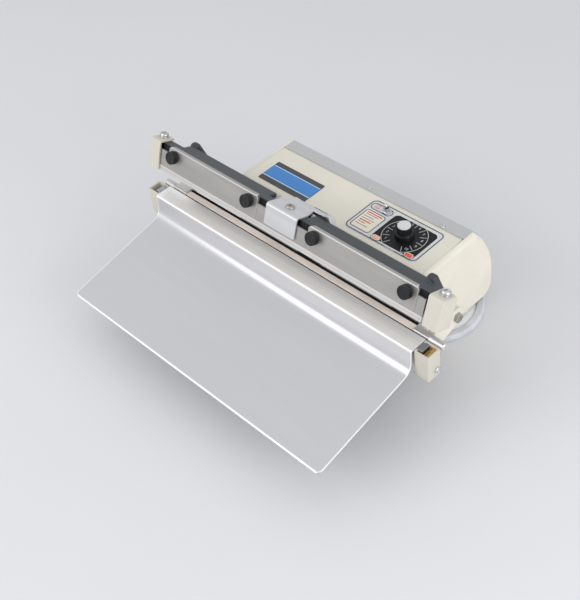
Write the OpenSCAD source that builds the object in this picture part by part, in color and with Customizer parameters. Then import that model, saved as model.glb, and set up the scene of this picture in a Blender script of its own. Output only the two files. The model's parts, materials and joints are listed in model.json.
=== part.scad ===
// Impulse sealer for a shop counter. A body on two round feet carries a fixed lower jaw with a
// work table, and a hinged upper jaw that a solenoid pulls shut. Millimetres; x runs along the
// jaw, y to the back and z up from the desk. The upper jaw is drawn open.

/* [Lower jaw] */
// Width over the end blocks
jaw_w = 368; // [350:1:390]
// Width of an end block along the jaw
block_w = 16; // [14:0.5:18]
// Depth of a lower end block
block_d = 16; // [14:0.5:18]
// Height of an end block
block_h = 30; // [28:0.5:33]
// Wall of the end blocks and end caps
block_wall = 2; // [1.6:0.1:2.4]
// Height of the lower end blocks above the desk
jaw_z = 68; // [65:1:76]
// Distance of the seal line behind the front of the end blocks
seal_y = 21; // [20.5:0.25:22]
// Front face of the lower beam behind the front of the end blocks
beam_front = 4; // [3:0.5:6]
// Depth of the lower beam
beam_d = 24; // [23.5:0.5:26]
// Bottom of the lower beam above the bottom of the end blocks
beam_z = 3; // [2:0.5:4]
// Height of the lower beam
beam_h = 22; // [19:0.5:23]
// Wall of the lower beam
beam_wall = 2.5; // [2:0.1:4]
// Width of the heater seat, front to back
seat_w = 10; // [9:0.25:10.5]
// Height of the heater seat
seat_h = 4; // [3:0.25:5]
// Thickness of the insulation strip
insulation_t = 1; // [0.6:0.1:1.5]
// Width of the heating ribbon
ribbon_w = 4; // [2:0.5:5]
// Thickness of the heating ribbon
ribbon_t = 0.3; // [0.2:0.05:0.4]
// Width of the release sheet
release_w = 7.8; // [7:0.2:8.4]
// Thickness of the release sheet
release_t = 0.3; // [0.2:0.05:0.4]
// Length of the left terminal clamp along the jaw
terminal_l = 16; // [12:0.5:18]
// Length of the right terminal clamp along the jaw
terminal_right_l = 7; // [6:0.5:10]
// Height of a terminal clamp above the insulation
terminal_h = 2.2; // [1.5:0.1:2.4]
// Diameter of the screws in the lower end blocks
block_screw_d = 3.4; // [3:0.1:4]
// Diameter of the brass sleeve in the right end block
sleeve_d = 6.8; // [5:0.1:7]
// Thickness of the metal lug in an end block
lug_t = 4.5; // [3:0.25:4.75]
// How far the inner wall of an end block is cut down
notch_h = 5; // [3:0.25:7]
// Depth of the outer end of a terminal clamp
terminal_d = 6.4; // [6:0.1:7]
// Diameter of the studs on the terminal clamps
stud_d = 7.5; // [6:0.25:7.5]

/* [Hinge] */
// Hinge axis behind the front of the end blocks
hinge_y = 58; // [57:0.25:59.5]
// Hinge axis above the bottom of the lower end blocks
hinge_z = 23.5; // [22.5:0.25:25]
// Opening angle of the upper jaw
open_deg = 21; // [18:0.5:23]
// Diameter of the hinge bolts
bolt_d = 8; // [6:0.5:9]
// Radius of the arm eyes round the hinge bolts
eye_r = 9; // [8:0.25:10]
// Thickness of a fixed hinge arm
arm_t = 8; // [6:0.5:9]
// Thickness of a jaw arm
jaw_arm_t = 9; // [7:0.5:12]
// Washer between a jaw arm and a hinge arm
washer_t = 4; // [3:0.5:5]
// Distance of the pull pin from the hinge axis
pull_r = 14; // [13:0.25:15]
// Diameter of the pull pin
pull_pin_d = 5; // [4:0.25:6]

/* [Upper jaw] */
// Gap between the end blocks and the end caps when shut
upper_gap = 5.5; // [5:0.1:6]
// How far the end caps reach past the end blocks
upper_over = 2.25; // [0:0.25:3]
// Depth of an end cap
cap_d = 18; // [17:0.5:21]
// Place of the cap screws and the bracket screw behind the front of the caps
cap_screw_y = 11.5; // [10.5:0.25:12]
// Rear face of the jaw profile behind the front of the end blocks
bar_back = 27; // [26.5:0.25:28]
// Rear face of the press bar behind the front of the end blocks
bar_rear = 25.5; // [24.5:0.25:26.5]
// Rear face of the narrow parts of the press bar behind the front of the end blocks
nose_back = 16; // [15.5:0.25:18]
// Radius of the shoulders where the press bar gets narrow
shoulder_r = 8; // [5:0.5:10]
// Radius of the round lobe at the top of a jaw arm
lobe_r = 5; // [4:0.25:6]
// Wall of the press bar
bar_wall = 3; // [2.4:0.1:3.5]
// Height of the deep top part of the press bar
bar_top_h = 11; // [10:0.5:12]
// Height of the lip along the jaw profile
lip_h = 5.5; // [5:0.25:6.5]
// Thickness of the web of the jaw profile
web_t = 3.3; // [2.5:0.1:3.5]
// Rise of the jaw profile's front wall over its web, beside the clamp plates
wall_rise = 5; // [4:0.5:7]
// Width of the rubber strip
rubber_w = 8; // [6:0.25:9]
// Depth of the groove that holds the rubber strip
groove_h = 2.5; // [2:0.1:3]
// Thickness of a clamp plate
plate_t = 2.5; // [2:0.1:3]
// Gap from a clamp plate to the inner face of the end block beside it
plate_margin = 9.5; // [8:0.5:14]
// Inner end of a clamp plate from the middle of the jaw
plate_x = 32.5; // [31:0.5:36]
// Depth of the turned top edge of a clamp plate
plate_return = 4.8; // [3:0.1:6]
// Diameter of a thumbscrew head
thumb_d = 13; // [11:0.5:14]
// Length of a thumbscrew head
thumb_l = 7; // [6:0.25:8]
// Diameter of a thumbscrew shank
thumb_shank_d = 5; // [4:0.25:5.5]
// Thumbscrews from the ends of their clamp plate
thumb_inset = 9.75; // [8:0.25:12]
// Thumbscrews below the top of the press bar
thumb_drop = 6.5; // [6:0.25:7]
// Width of the centre bracket
bracket_w = 39; // [34:1:42]
// Thickness of the centre bracket
bracket_t = 2; // [1.5:0.1:2.5]
// Rear edge of the centre bracket behind the front of the end blocks
bracket_back = 34; // [33:0.5:36]
// Width of the centre bracket at its rear edge
bracket_rear_w = 27; // [24:1:32]
// Width of the tail and its eye under the bracket
tail_w = 13; // [11:0.5:15]
// Diameter of the head of a cap screw
cap_screw_d = 9; // [7:0.5:10]

/* [Work table] */
// Reach of the table in front of the end blocks
table_reach = 121; // [100:1:140]
// Slope of the table
table_slope = 11.6; // [8:0.2:13]
// Thickness of the table sheet
table_t = 1.2; // [1:0.1:1.6]
// Height of the steep face behind the table
table_step = 24.6; // [22:0.2:26]
// Top bend of the steep face in front of the end blocks
table_bend = 1; // [0.5:0.25:2]
// How far the steep face leans out at its foot
table_lean = 4; // [3:0.25:5]
// Diameter of the hem along the front edge
hem_d = 3; // [2.4:0.2:4]
// Radius of the front corners
table_corner_r = 6; // [4:0.5:10]
// Table brackets from the middle of the jaw
table_bracket_x = 90; // [60:5:120]

/* [Body] */
// Width of the body over the end covers
body_w = 245; // [236:1:256]
// Depth of an end cover past its seam
cover_depth = 6; // [5:0.5:8]
// Wall of an end cover
cover_wall = 2; // [1.6:0.1:2.5]
// Length of the lip of an end cover inside the body
cover_lip = 8; // [6:0.5:10]
// Front of the body behind the front of the end blocks
body_front = 72; // [71:0.5:73]
// Back of the body behind the front of the end blocks
body_back = 172; // [168:0.5:176]
// Top of the panel above the desk
body_top = 101; // [99:0.5:104]
// Bottom of the body above the desk
body_z = 8; // [7:0.5:9]
// Radius of the round back
back_r = 97; // [94:0.5:104]
// Height of the centre of the round back above the desk
back_z = 34; // [31:0.5:37]
// Radius of the lower back corner
heel_r = 14; // [10:0.5:16]
// Thickness of the panel and cover sheets
sheet_t = 1.5; // [1.2:0.1:1.8]
// Thickness of the base tray
tray_t = 2; // [1.5:0.1:2.2]
// Height of the turned front lip of the panel
panel_lip = 10; // [6:1:14]
// Joint between the panel and the rear cover behind the front of the end blocks
band_y = 131; // [129:0.5:133]
// How far the rear cover stands proud of the end covers
band_proud = 0.8; // [0.4:0.1:1.2]
// Diameter of the small cover screws
cover_screw_d = 4.4; // [3.6:0.2:5]

/* [Controls] */
// Timer knob from the middle of the body
dial_x = 72; // [69:0.5:74]
// Timer knob behind the front of the end blocks
dial_y = 101.5; // [100:0.5:103]
// Diameter of the timer knob at its foot
knob_d = 19; // [18:0.5:21]
// Height of the timer knob
knob_h = 12.5; // [11:0.25:15]
// Diameter of the knob's light cap
knob_cap_d = 12.6; // [10:0.2:13]
// Diameter of the timer spindle
spindle_d = 6; // [5:0.25:6.25]
// Diameter of the timer bush
timer_bush_d = 9; // [8.5:0.25:9.5]
// Diameter of the potentiometer can
pot_d = 24; // [20:1:28]
// Depth of the potentiometer can
pot_h = 12; // [9:0.5:14]
// Control plate's middle from the middle of the body
plate_cx = 58.5; // [57:0.5:60]
// Control plate's middle behind the front of the end blocks
plate_cy = 102.5; // [101:0.5:103]
// Width of the control plate
control_w = 87; // [84:1:92]
// Depth of the control plate
control_d = 47; // [45:0.5:49]
// Corner radius of the control plate
control_r = 6; // [3:0.5:8]
// Thickness of the control plate and the striped plate
label_t = 0.6; // [0.4:0.1:1]
// Striped plate's middle from the middle of the body, to the left
stripe_cx = 70.5; // [66:0.5:74]
// Striped plate's middle behind the front of the end blocks
stripe_cy = 95; // [92:0.5:98]
// Width of the striped plate
stripe_w = 65; // [55:1:70]
// Depth of the striped plate
stripe_d = 30; // [26:0.5:32]
// Toggle from the middle of the body
toggle_x = 36; // [34:0.5:38]
// Toggle behind the front of the end blocks
toggle_y = 118; // [116:0.5:119]
// Diameter of the toggle bush
toggle_bush_d = 6.4; // [6.2:0.1:7]
// Diameter of the toggle lever at its tip
toggle_tip_d = 3.6; // [3:0.2:4]
// Length of the toggle lever
toggle_l = 8.5; // [7:0.5:11]
// Lean of the toggle lever to either side
toggle_deg = 12; // [8:1:13]
// Length of an oval lamp
lamp_l = 9.5; // [8:0.5:10.5]
// Width of an oval lamp
lamp_w = 6; // [5:0.5:6.5]
// Lamps to either side of the timer knob
lamp_x = 20; // [18:0.5:22]
// Lamps in front of the timer knob
lamp_y = 18; // [16.5:0.5:18.5]

/* [Feet] */
// Feet inside the sides of the chassis plate
foot_inset = 15; // [12:0.5:20]
// Feet behind the front of the end blocks
foot_y = 124; // [121:0.5:126]
// Diameter of a foot over its rubber rim
foot_d = 103; // [96:1:108]
// Width of the rubber rim
rim_w = 8; // [6:0.5:10]
// Height of the rubber rim
rim_h = 6.5; // [5.5:0.25:7]
// Height of the foot dish above the desk
dish_z = 2; // [1.5:0.25:2.5]
// Thickness of the foot dish
dish_t = 3; // [2:0.25:3.5]
// Diameter of the boss on a foot dish
foot_boss_d = 30; // [24:1:40]
// Diameter of the foot bolts
foot_bolt_d = 6; // [5:0.5:8]

/* [Drive] */
// Thickness of the chassis plate
chassis_t = 3; // [2:0.25:4]
// Width of the chassis plate
chassis_w = 200; // [190:2:206]
// Rear edge of the chassis plate behind the front of the end blocks
chassis_back = 150; // [146:1:154]
// Solenoid axis behind the front of the end blocks
solenoid_y = 100; // [96:0.5:104]
// Diameter of the plunger
plunger_d = 14; // [10:0.5:16]
// Diameter of the solenoid coil
coil_d = 32; // [28:0.5:34]
// Thickness of the solenoid frame
frame_t = 3; // [2:0.25:4]
// Thickness of the closing yoke
yoke_t = 4; // [3:0.25:5]
// Drop of the yoke below the chassis plate
yoke_drop = 8; // [7:0.5:10]
// Thickness of a yoke cheek
cheek_t = 3; // [2:0.25:4]
// Gap from the transformer to the chassis side and to the solenoid
core_gap = 5.75; // [4:0.25:8]
// Stack depth of the transformer core
core_d = 45; // [38:1:46]
// Height of the transformer core
core_h = 46; // [42:1:48]
// Length of the circuit board
board_l = 78; // [60:1:80]
// Depth of the circuit board
board_d = 42; // [34:1:44]
// Diameter of the cord gland's flange
gland_d = 18; // [14:0.5:20]

/* [Fits] */
// Radial clearance of a pin in its hole
fit = 0.05; // [0.02:0.01:0.09]
// Gap between faces that slide past each other
slide_gap = 0.5; // [0.4:0.05:0.6]
// Gap of the pull pin in its slot
slot_gap = 0.6; // [0.5:0.05:0.8]
// Gap between the rubber and the release sheet when shut
seal_gap = 0.4; // [0.3:0.05:0.5]
// Gap between pieces that are laid side by side
lay_gap = 0.2; // [0.1:0.05:0.3]

/* [Hidden] */
$fn = 64;
cream = [0.89, 0.87, 0.80];
silver = [0.78, 0.78, 0.79];
steel = [0.62, 0.63, 0.65];
black = [0.14, 0.15, 0.16];
brass = [0.75, 0.58, 0.28];

// Places across the jaw
half_w = jaw_w / 2;
block_x = half_w - block_w;
beam_half = block_x - arm_t;
jaw_arm_x = beam_half - washer_t - jaw_arm_t;
terminal_x = beam_half - terminal_l;
plate_l = block_x - plate_margin - plate_x;
terminal_right_x = beam_half - terminal_right_l;
seat_left = terminal_x - lay_gap;
seat_right = terminal_right_x - lay_gap;
table_half = block_x - lay_gap;
upper_half = half_w + upper_over;
bar_half = upper_half - block_wall - lay_gap;
shoulder_x = beam_half - 2;
recess_x = plate_x - 2;
recess_right = bracket_w / 2 + 1.5;
ribbon_half = beam_half - 3;
stud_right = block_x + block_wall;
stud_left = beam_half + 3;

// Places in the section of the lower jaw, from the front and bottom of the end blocks
beam_back = beam_front + beam_d;
beam_top = beam_z + beam_h;
seat_front = seal_y - release_w / 2;
seat_back = seat_front + seat_w;
flange_gap = 1;
flange_back = seat_front - flange_gap;
seat_top = beam_top + seat_h;
ribbon_z = seat_top + insulation_t;
seal_z = ribbon_z + ribbon_t + release_t;
flange_z = seat_top + table_t;
stud_y = seat_front + terminal_d / 2;
stud_z = ribbon_z - 1;

// Places in the section of the shut upper jaw
upper_z = block_h + upper_gap;
plate_front = block_wall + lay_gap;
plate_back = plate_front + plate_t;
bar_top = upper_z + block_h - block_wall;
lip_top = upper_z + lip_h;
step_z = bar_top - bar_top_h;
web_back = plate_back + web_t;
thumb_z = bar_top - thumb_drop;
bracket_top = bar_top + bracket_t;
pin_y = hinge_y - pull_r * cos(open_deg / 2);
pin_shut_z = hinge_z - pull_r * sin(open_deg / 2);
pin_open_z = hinge_z + pull_r * sin(open_deg / 2);
pull_travel = pull_r * open_deg * PI / 180;

// Places in the body, from the front of the end blocks and the desk
seam_x = body_w / 2 - cover_depth;
back_y = body_back - back_r;
heel_z = body_z + heel_r;
heel_y = back_y + sqrt(pow(back_r - heel_r, 2) - pow(back_z - heel_z, 2));
heel_touch_z = heel_z - heel_r * (back_z - heel_z) / (back_r - heel_r);
floor_z = body_z + tray_t;
wall_y = body_front + sheet_t + lay_gap;
lip_inset = sheet_t + tray_t + 2 * lay_gap;
label_z = body_top + label_t;
panel_under = body_top - sheet_t;
foot_x = chassis_w / 2 - foot_inset;
foot_r = foot_d / 2;
dish_r = foot_r - rim_w;
back_reach = max(foot_y + foot_r, body_back + band_proud);
jaw_y = (table_reach - back_reach) / 2;

// Places in the drive
chassis_z = jaw_z + beam_z - chassis_t;
yoke_z = chassis_z - yoke_drop - yoke_t;
cheek_x = tail_w / 2 + slide_gap;
cheek_half = pull_pin_d / 2 + slot_gap + 2;
frame_top = yoke_z - pull_travel - slide_gap;
coil_hole = plunger_d + 2 * slide_gap;
frame_half = coil_d / 2 + frame_t + slide_gap;
core_x = core_gap + chassis_t - chassis_w / 2;
core_w = -frame_half - core_gap - core_x;
core_y = chassis_back - core_d;
core_lift = 5;
core_z = floor_z + core_lift;
board_t = 1.6;
board_z = chassis_z + chassis_t + core_lift;
board_x = -frame_half - slide_gap;
board_y = wall_y + tray_t + core_gap;
post_inset = board_d / 8;
post_d = board_d / 14;

// Shapes that repeat

function unit(v) = v / norm(v);

function reversed(list) = [for (i = [len(list) - 1:-1:0]) list[i]];

// Points of the arc of radius r that rounds the corner b of the path a, b, c
function corner_arc(a, b, c, r, steps = 8) =
    let (u = unit(a - b), v = unit(c - b), half = acos(u * v) / 2,
         hub = b + unit(u + v) * r / sin(half),
         p = b + u * r / tan(half) - hub, q = b + v * r / tan(half) - hub,
         start = atan2(p.y, p.x), sweep = (atan2(q.y, q.x) - start + 540) % 360 - 180)
    [for (i = [0:steps]) hub + r * [cos(start + sweep * i / steps), sin(start + sweep * i / steps)]];

// A path with each inner corner rounded by its radius
function bent(path, radii) =
    let (last = len(path) - 1)
    [for (i = [0:last])
        each (i == 0 || i == last) ? [path[i]]
            : corner_arc(path[i - 1], path[i], path[i + 1], radii[i - 1])];

// The same path moved sideways by t, to the left of its direction
function beside(path, t) =
    let (last = len(path) - 1)
    [for (i = [0:last])
        let (d = unit(path[min(i + 1, last)] - path[max(i - 1, 0)])) path[i] + t * [-d.y, d.x]];

// Section of a bent sheet whose face follows the path
module sheet_section(path, radii, t) {
    face = bent(path, radii);
    polygon(concat(face, reversed(beside(face, t))));
}

// Extrudes a section drawn in y and z along x
module slab_x(x0, x1) translate([x0, 0, 0]) rotate([90, 0, 90]) linear_extrude(x1 - x0) children();

module rod_x(x0, x1, d, y, z) translate([x0, y, z]) rotate([0, 90, 0]) cylinder(h = x1 - x0, d = d);

module rod_y(y0, y1, d, x, z) translate([x, y0, z]) rotate([-90, 0, 0]) cylinder(h = y1 - y0, d = d);

module rod_z(z0, z1, d, x, y) translate([x, y, z0]) cylinder(h = z1 - z0, d = d);

module block(x0, x1, y0, y1, z0, z1) translate([x0, y0, z0]) cube([x1 - x0, y1 - y0, z1 - z0]);

module both_sides() {
    children();
    mirror([1, 0, 0]) children();
}

module at_body() translate([0, jaw_y, 0]) children();

module at_jaw() translate([0, jaw_y, jaw_z]) children();

// Swings a piece of the shut upper jaw open
module opened()
    at_jaw() translate([0, hinge_y, hinge_z]) rotate([-open_deg, 0, 0])
        translate([0, -hinge_y, -hinge_z]) children();

// Section of the body, drawn in by inset on every side
module body_section(inset) {
    span = body_back * 2;
    intersection() {
        translate([body_front + inset, body_z + inset]) square([span, body_top - body_z - 2 * inset]);
        translate([back_y, back_z]) circle(back_r - inset, $fn = 160);
        union() {
            translate([body_front - span, heel_touch_z]) square([span * 2, span]);
            translate([body_front - span, body_z - span]) square([heel_y - body_front + span, span * 2]);
            translate([heel_y, heel_z]) circle(heel_r - inset);
        }
    }
}

// A pan head on a round shank, pointing down from z = 0
module pan_screw(head_d, head_h, shank_d, shank_l) {
    cylinder(h = head_h, d1 = head_d, d2 = head_d * 0.72);
    translate([0, 0, -shank_l]) cylinder(h = shank_l, d = shank_d);
}

module rounded_plate(w, d, r, t)
    linear_extrude(t) union() {
        square([w - 2 * r, d], center = true);
        square([w, d - 2 * r], center = true);
        for (sx = [-1, 1], sy = [-1, 1])
            translate([sx * (w / 2 - r), sy * (d / 2 - r)]) circle(r);
    }

// Body

module base_tray() color(steel) at_body() difference() {
    union() {
        slab_x(-seam_x, seam_x) intersection() {
            body_section(0);
            translate([wall_y, body_z]) square([body_back, tray_t]);
        }
        block(-seam_x, seam_x, wall_y, wall_y + tray_t, body_z, body_top - 2 * sheet_t - lay_gap);
    }
    block(-chassis_w / 2 - lay_gap, chassis_w / 2 + lay_gap, body_front, wall_y + tray_t + 1,
          chassis_z - lay_gap, chassis_z + chassis_t + lay_gap);
    block(-cheek_x - cheek_t - slide_gap, cheek_x + cheek_t + slide_gap, body_front, wall_y + tray_t + 1,
          yoke_z - pull_travel - slide_gap, yoke_z + yoke_t + slide_gap);
    both_sides() rod_z(0, body_top / 2, foot_bolt_d + 2 * fit, foot_x, foot_y);
}

module end_cover() color(cream) at_body() difference() {
    union() {
        hull() {
            slab_x(seam_x, seam_x + cover_depth * 0.35) body_section(0);
            slab_x(seam_x + cover_depth * 0.35, seam_x + cover_depth * 0.75) body_section(cover_depth * 0.18);
            slab_x(seam_x + cover_depth * 0.75, seam_x + cover_depth) body_section(cover_depth * 0.62);
        }
        slab_x(seam_x - cover_lip, seam_x) body_section(lip_inset);
    }
    slab_x(seam_x - cover_lip - 1, seam_x + cover_depth - cover_wall) body_section(lip_inset + cover_wall);
}

module end_cover_left() mirror([1, 0, 0]) end_cover();

module end_cover_right() end_cover();

module top_panel() color(cream) at_body() difference() {
    union() {
        slab_x(-seam_x, seam_x)
            sheet_section([[body_front, body_top - panel_lip], [body_front, body_top], [band_y, body_top]],
                          [2 * sheet_t], -sheet_t);
        block(-seam_x + cover_lip + 1, seam_x - cover_lip - 1, band_y - 5, band_y + 8,
              panel_under - sheet_t, panel_under);
    }
    rod_z(0, body_top + 1, timer_bush_d + 2 * fit, dial_x, dial_y);
    rod_z(0, body_top + 1, toggle_bush_d + 2 * fit, toggle_x, toggle_y);
    screw_places() rod_z(-3 * sheet_t - 3, 1, cover_screw_d / 2 + 2 * fit, 0, 0);
}

// The two screws along the front of the rear cover
module screw_places()
    for (x = [0, seam_x - 25]) translate([x, band_y + 2.5, body_top + band_proud]) children();

module rear_cover() color([0.70, 0.70, 0.73]) at_body() difference() {
    slab_x(-seam_x, seam_x) intersection() {
        difference() {
            body_section(-band_proud);
            body_section(sheet_t - band_proud);
        }
        translate([band_y, floor_z]) square([body_back, body_top]);
    }
    rod_y(back_y, body_back + 5, gland_d * 0.6 + 2 * fit, gland_x(), back_z);
    screw_places() rod_z(-3, 1, cover_screw_d / 2 + 2 * fit, 0, 0);
}

module cover_screws() color(steel) at_body()
    screw_places() pan_screw(cover_screw_d, 1.4, cover_screw_d / 2, 3 * sheet_t);

module control_plate() color(silver) at_body() difference() {
    translate([plate_cx, plate_cy, body_top]) rounded_plate(control_w, control_d, control_r, label_t);
    rod_z(0, label_z + 1, timer_bush_d + 2 * fit, dial_x, dial_y);
    rod_z(0, label_z + 1, toggle_bush_d + 2 * fit, toggle_x, toggle_y);
}

module stripe_plate() color([0.27, 0.53, 0.78]) at_body()
    translate([-stripe_cx, stripe_cy, body_top]) rounded_plate(stripe_w, stripe_d, 1, label_t);

module pilot_lamps() color([0.9, 0.35, 0.3]) at_body()
    for (x = [-1, 1])
        translate([dial_x + x * lamp_x, dial_y - lamp_y, label_z]) hull() for (e = [-1, 1])
            translate([e * (lamp_l - lamp_w) / 2, 0, 0])
                cylinder(h = 1.2, d1 = lamp_w, d2 = lamp_w * 0.8, $fn = 24);

module timer_pot() color(steel) at_body() difference() {
    union() {
        rod_z(panel_under - pot_h, panel_under, pot_d, dial_x, dial_y);
        rod_z(panel_under - 1, label_z + 4, timer_bush_d, dial_x, dial_y);
    }
    rod_z(panel_under - pot_h + 2, label_z + 5, spindle_d + 2 * fit, dial_x, dial_y);
}

module timer_spindle() color(steel) at_body()
    rod_z(panel_under - pot_h + 2 + slide_gap, label_z + knob_h - 3, spindle_d, dial_x, dial_y);

module timer_knob() color(black) at_body() translate([dial_x, dial_y, label_z + slide_gap]) difference() {
    union() {
        cylinder(h = 5, d1 = knob_d, d2 = knob_d * 0.92);
        cylinder(h = knob_h, d1 = knob_d * 0.82, d2 = knob_cap_d + 1);
    }
    translate([0, 0, -1]) cylinder(h = 5.5, d = timer_bush_d + 5);
    cylinder(h = knob_h - 3, d = spindle_d + 2 * fit);
}

module knob_cap() color([0.82, 0.82, 0.84]) at_body()
    rod_z(label_z + slide_gap + knob_h, label_z + slide_gap + knob_h + 1.2, knob_cap_d, dial_x, dial_y);

// Height of the toggle lever's pivot
function pivot_z() = label_z + 3;

module switch_body() color(black) at_body() difference() {
    union() {
        block(toggle_x - 6.5, toggle_x + 6.5, toggle_y - 4, toggle_y + 4, panel_under - 18, panel_under);
        rod_z(panel_under - 1, label_z + 5, toggle_bush_d, toggle_x, toggle_y);
    }
    rod_z(pivot_z() - 2.2, label_z + 6, toggle_tip_d + 2 * slide_gap, toggle_x, toggle_y);
    translate([toggle_x, toggle_y, pivot_z()])
        cylinder(h = 3, d1 = toggle_tip_d, d2 = toggle_bush_d - 1.2);
}

module toggle_lever() color(silver) at_body() translate([toggle_x, toggle_y, pivot_z()])
    rotate([toggle_deg, 0, 0]) {
        sphere(d = toggle_tip_d);
        cylinder(h = toggle_l - toggle_tip_d / 2, d1 = toggle_tip_d * 0.7, d2 = toggle_tip_d * 0.9);
        translate([0, 0, toggle_l - toggle_tip_d / 2]) sphere(d = toggle_tip_d);
    }

module bush_nuts() color(silver) at_body() {
    difference() {
        translate([dial_x, dial_y, label_z]) cylinder(h = 2, d = timer_bush_d + 3.6, $fn = 6);
        rod_z(0, label_z + 3, timer_bush_d + 2 * fit, dial_x, dial_y);
    }
    difference() {
        translate([toggle_x, toggle_y, label_z]) cylinder(h = 1.8, d = toggle_bush_d + 3.4, $fn = 6);
        rod_z(0, label_z + 3, toggle_bush_d + 2 * fit, toggle_x, toggle_y);
    }
}

// Feet

module foot_dishes() color([0.88, 0.89, 0.91]) at_body() both_sides() translate([foot_x, foot_y, 0])
    difference() {
        union() {
            translate([0, 0, dish_z]) cylinder(h = dish_t, r = dish_r - fit);
            translate([0, 0, dish_z]) cylinder(h = body_z - dish_z, d = foot_boss_d);
        }
        cylinder(h = body_z + 1, d = foot_bolt_d + 2 * fit);
    }

// A rubber ring whose inner ledge carries the dish
module foot_rims() color([0.62, 0.63, 0.66]) at_body() both_sides() translate([foot_x, foot_y, 0])
    rotate_extrude($fn = 96) union() {
        translate([dish_r - rim_w, 0]) square([rim_w, dish_z]);
        translate([dish_r, 0]) square([rim_w, rim_h - rim_w / 4]);
        translate([dish_r + rim_w / 4, 0]) square([rim_w / 2, rim_h]);
        for (e = [0.25, 0.75])
            translate([dish_r + rim_w * e, rim_h - rim_w / 4]) circle(rim_w / 4, $fn = 32);
    }

module foot_bolts() color(steel) at_body() both_sides() translate([foot_x, foot_y, 0]) {
    translate([0, 0, floor_z]) cylinder(h = 4, d = foot_bolt_d * 1.8, $fn = 6);
    translate([0, 0, dish_z + 0.5]) cylinder(h = floor_z - dish_z - 0.5, d = foot_bolt_d);
}

// Drive inside the body

module chassis_plate() color(steel) at_body() difference() {
    union() {
        block(-chassis_w / 2, chassis_w / 2, beam_front + 2, chassis_back, chassis_z, chassis_z + chassis_t);
        both_sides()
            block(chassis_w / 2 - chassis_t, chassis_w / 2, body_front + 12, chassis_back,
                  floor_z, chassis_z);
    }
    block(-cheek_x - cheek_t - slide_gap, cheek_x + cheek_t + slide_gap,
          pin_y - cheek_half - slide_gap, pin_y + cheek_half + slide_gap,
          chassis_z - 1, chassis_z + chassis_t + 1);
}

module solenoid_frame() color(steel) at_body() difference() {
    block(-frame_half, frame_half, solenoid_y - coil_d / 2, solenoid_y + coil_d / 2, floor_z, frame_top);
    block(-frame_half + frame_t, frame_half - frame_t, solenoid_y - coil_d, solenoid_y + coil_d,
          floor_z + frame_t, frame_top - frame_t);
    rod_z(floor_z + frame_t, frame_top + 1, coil_hole, 0, solenoid_y);
}

module solenoid_coil() color([0.66, 0.36, 0.18]) at_body() difference() {
    rod_z(floor_z + frame_t, frame_top - frame_t, coil_d, 0, solenoid_y);
    rod_z(floor_z, frame_top, coil_hole, 0, solenoid_y);
}

module return_spring() color(steel) at_body() difference() {
    rod_z(frame_top + lay_gap, yoke_z - lay_gap, coil_hole + 4, 0, solenoid_y);
    rod_z(frame_top, yoke_z, coil_hole + 0.6, 0, solenoid_y);
}

// The plunger and the yoke that it is riveted to, with two cheeks that take the pull pin
module closing_plunger() color([0.70, 0.71, 0.73]) at_body() difference() {
    union() {
        rod_z(floor_z + frame_t + pull_travel + 3, yoke_z + 1, plunger_d, 0, solenoid_y);
        block(-cheek_x - cheek_t, cheek_x + cheek_t, pin_y - cheek_half, solenoid_y + plunger_d / 2 + 2,
              yoke_z, yoke_z + yoke_t);
        both_sides() block(cheek_x, cheek_x + cheek_t, pin_y - cheek_half, pin_y + cheek_half,
                           yoke_z, jaw_z + pin_open_z + cheek_half);
    }
    rod_x(-half_w, half_w, pull_pin_d + 2 * slot_gap, pin_y, jaw_z + pin_open_z);
}

// A laminated core that stands on two feet
module transformer_core() color([0.36, 0.37, 0.39]) at_body() difference() {
    union() {
        block(core_x, core_x + core_w, core_y, core_y + core_d, core_z, core_z + core_h);
        for (y = [core_y, core_y + core_d - core_lift])
            block(core_x, core_x + core_w, y, y + core_lift, floor_z, core_z + 1);
    }
    for (e = [1, 4])
        block(core_x + e * core_w / 6, core_x + (e + 1) * core_w / 6, core_y - 1, core_y + core_d + 1,
              core_z + core_w / 6, core_z + core_h - core_w / 6);
}

module transformer_coil() color([0.78, 0.70, 0.45]) at_body() difference() {
    block(core_x + core_w / 6 + lay_gap, core_x + 5 * core_w / 6 - lay_gap, core_y - 7, core_y + core_d + 6,
          core_z + core_w / 6 + lay_gap, core_z + core_h - core_w / 6 - lay_gap);
    block(core_x + core_w / 3 - lay_gap, core_x + 2 * core_w / 3 + lay_gap, core_y - lay_gap,
          core_y + core_d + lay_gap, 0, body_top);
}

// Corners of the circuit board, as places for its posts
module post_places()
    for (x = [board_x - board_l + post_inset, board_x - post_inset],
         y = [board_y + post_inset, board_y + board_d - post_inset])
        translate([x, y, 0]) children();

module circuit_board() color([0.13, 0.38, 0.22]) at_body() {
    difference() {
        block(board_x - board_l, board_x, board_y, board_y + board_d, board_z, board_z + board_t);
        post_places() rod_z(0, body_top, post_d + 2 * fit, 0, 0);
    }
    block(board_x - board_l * 0.82, board_x - board_l * 0.56,
          board_y + board_d * 0.2, board_y + board_d * 0.52,
          board_z + board_t, board_z + board_d * 0.3);
    rod_z(board_z + board_t, board_z + board_d * 0.28, board_d * 0.28, board_x - board_l * 0.28,
          board_y + board_d * 0.34);
}

module board_posts() color(silver) at_body() post_places() {
    rod_z(chassis_z + chassis_t, board_z, 2 * post_d, 0, 0);
    rod_z(board_z, board_z + 1.5 * board_t, post_d, 0, 0);
}

function gland_x() = core_x + 5;

module cord_gland() color(black) at_body() difference() {
    union() {
        rod_y(body_back - 9, body_back + band_proud + 0.4, gland_d * 0.6, gland_x(), back_z);
        rod_y(body_back + band_proud + fit, body_back + band_proud + 2.2, gland_d, gland_x(), back_z);
    }
    rod_y(body_back - 10, body_back + 9, gland_d * 0.36, gland_x(), back_z);
}

// Lower jaw

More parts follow.
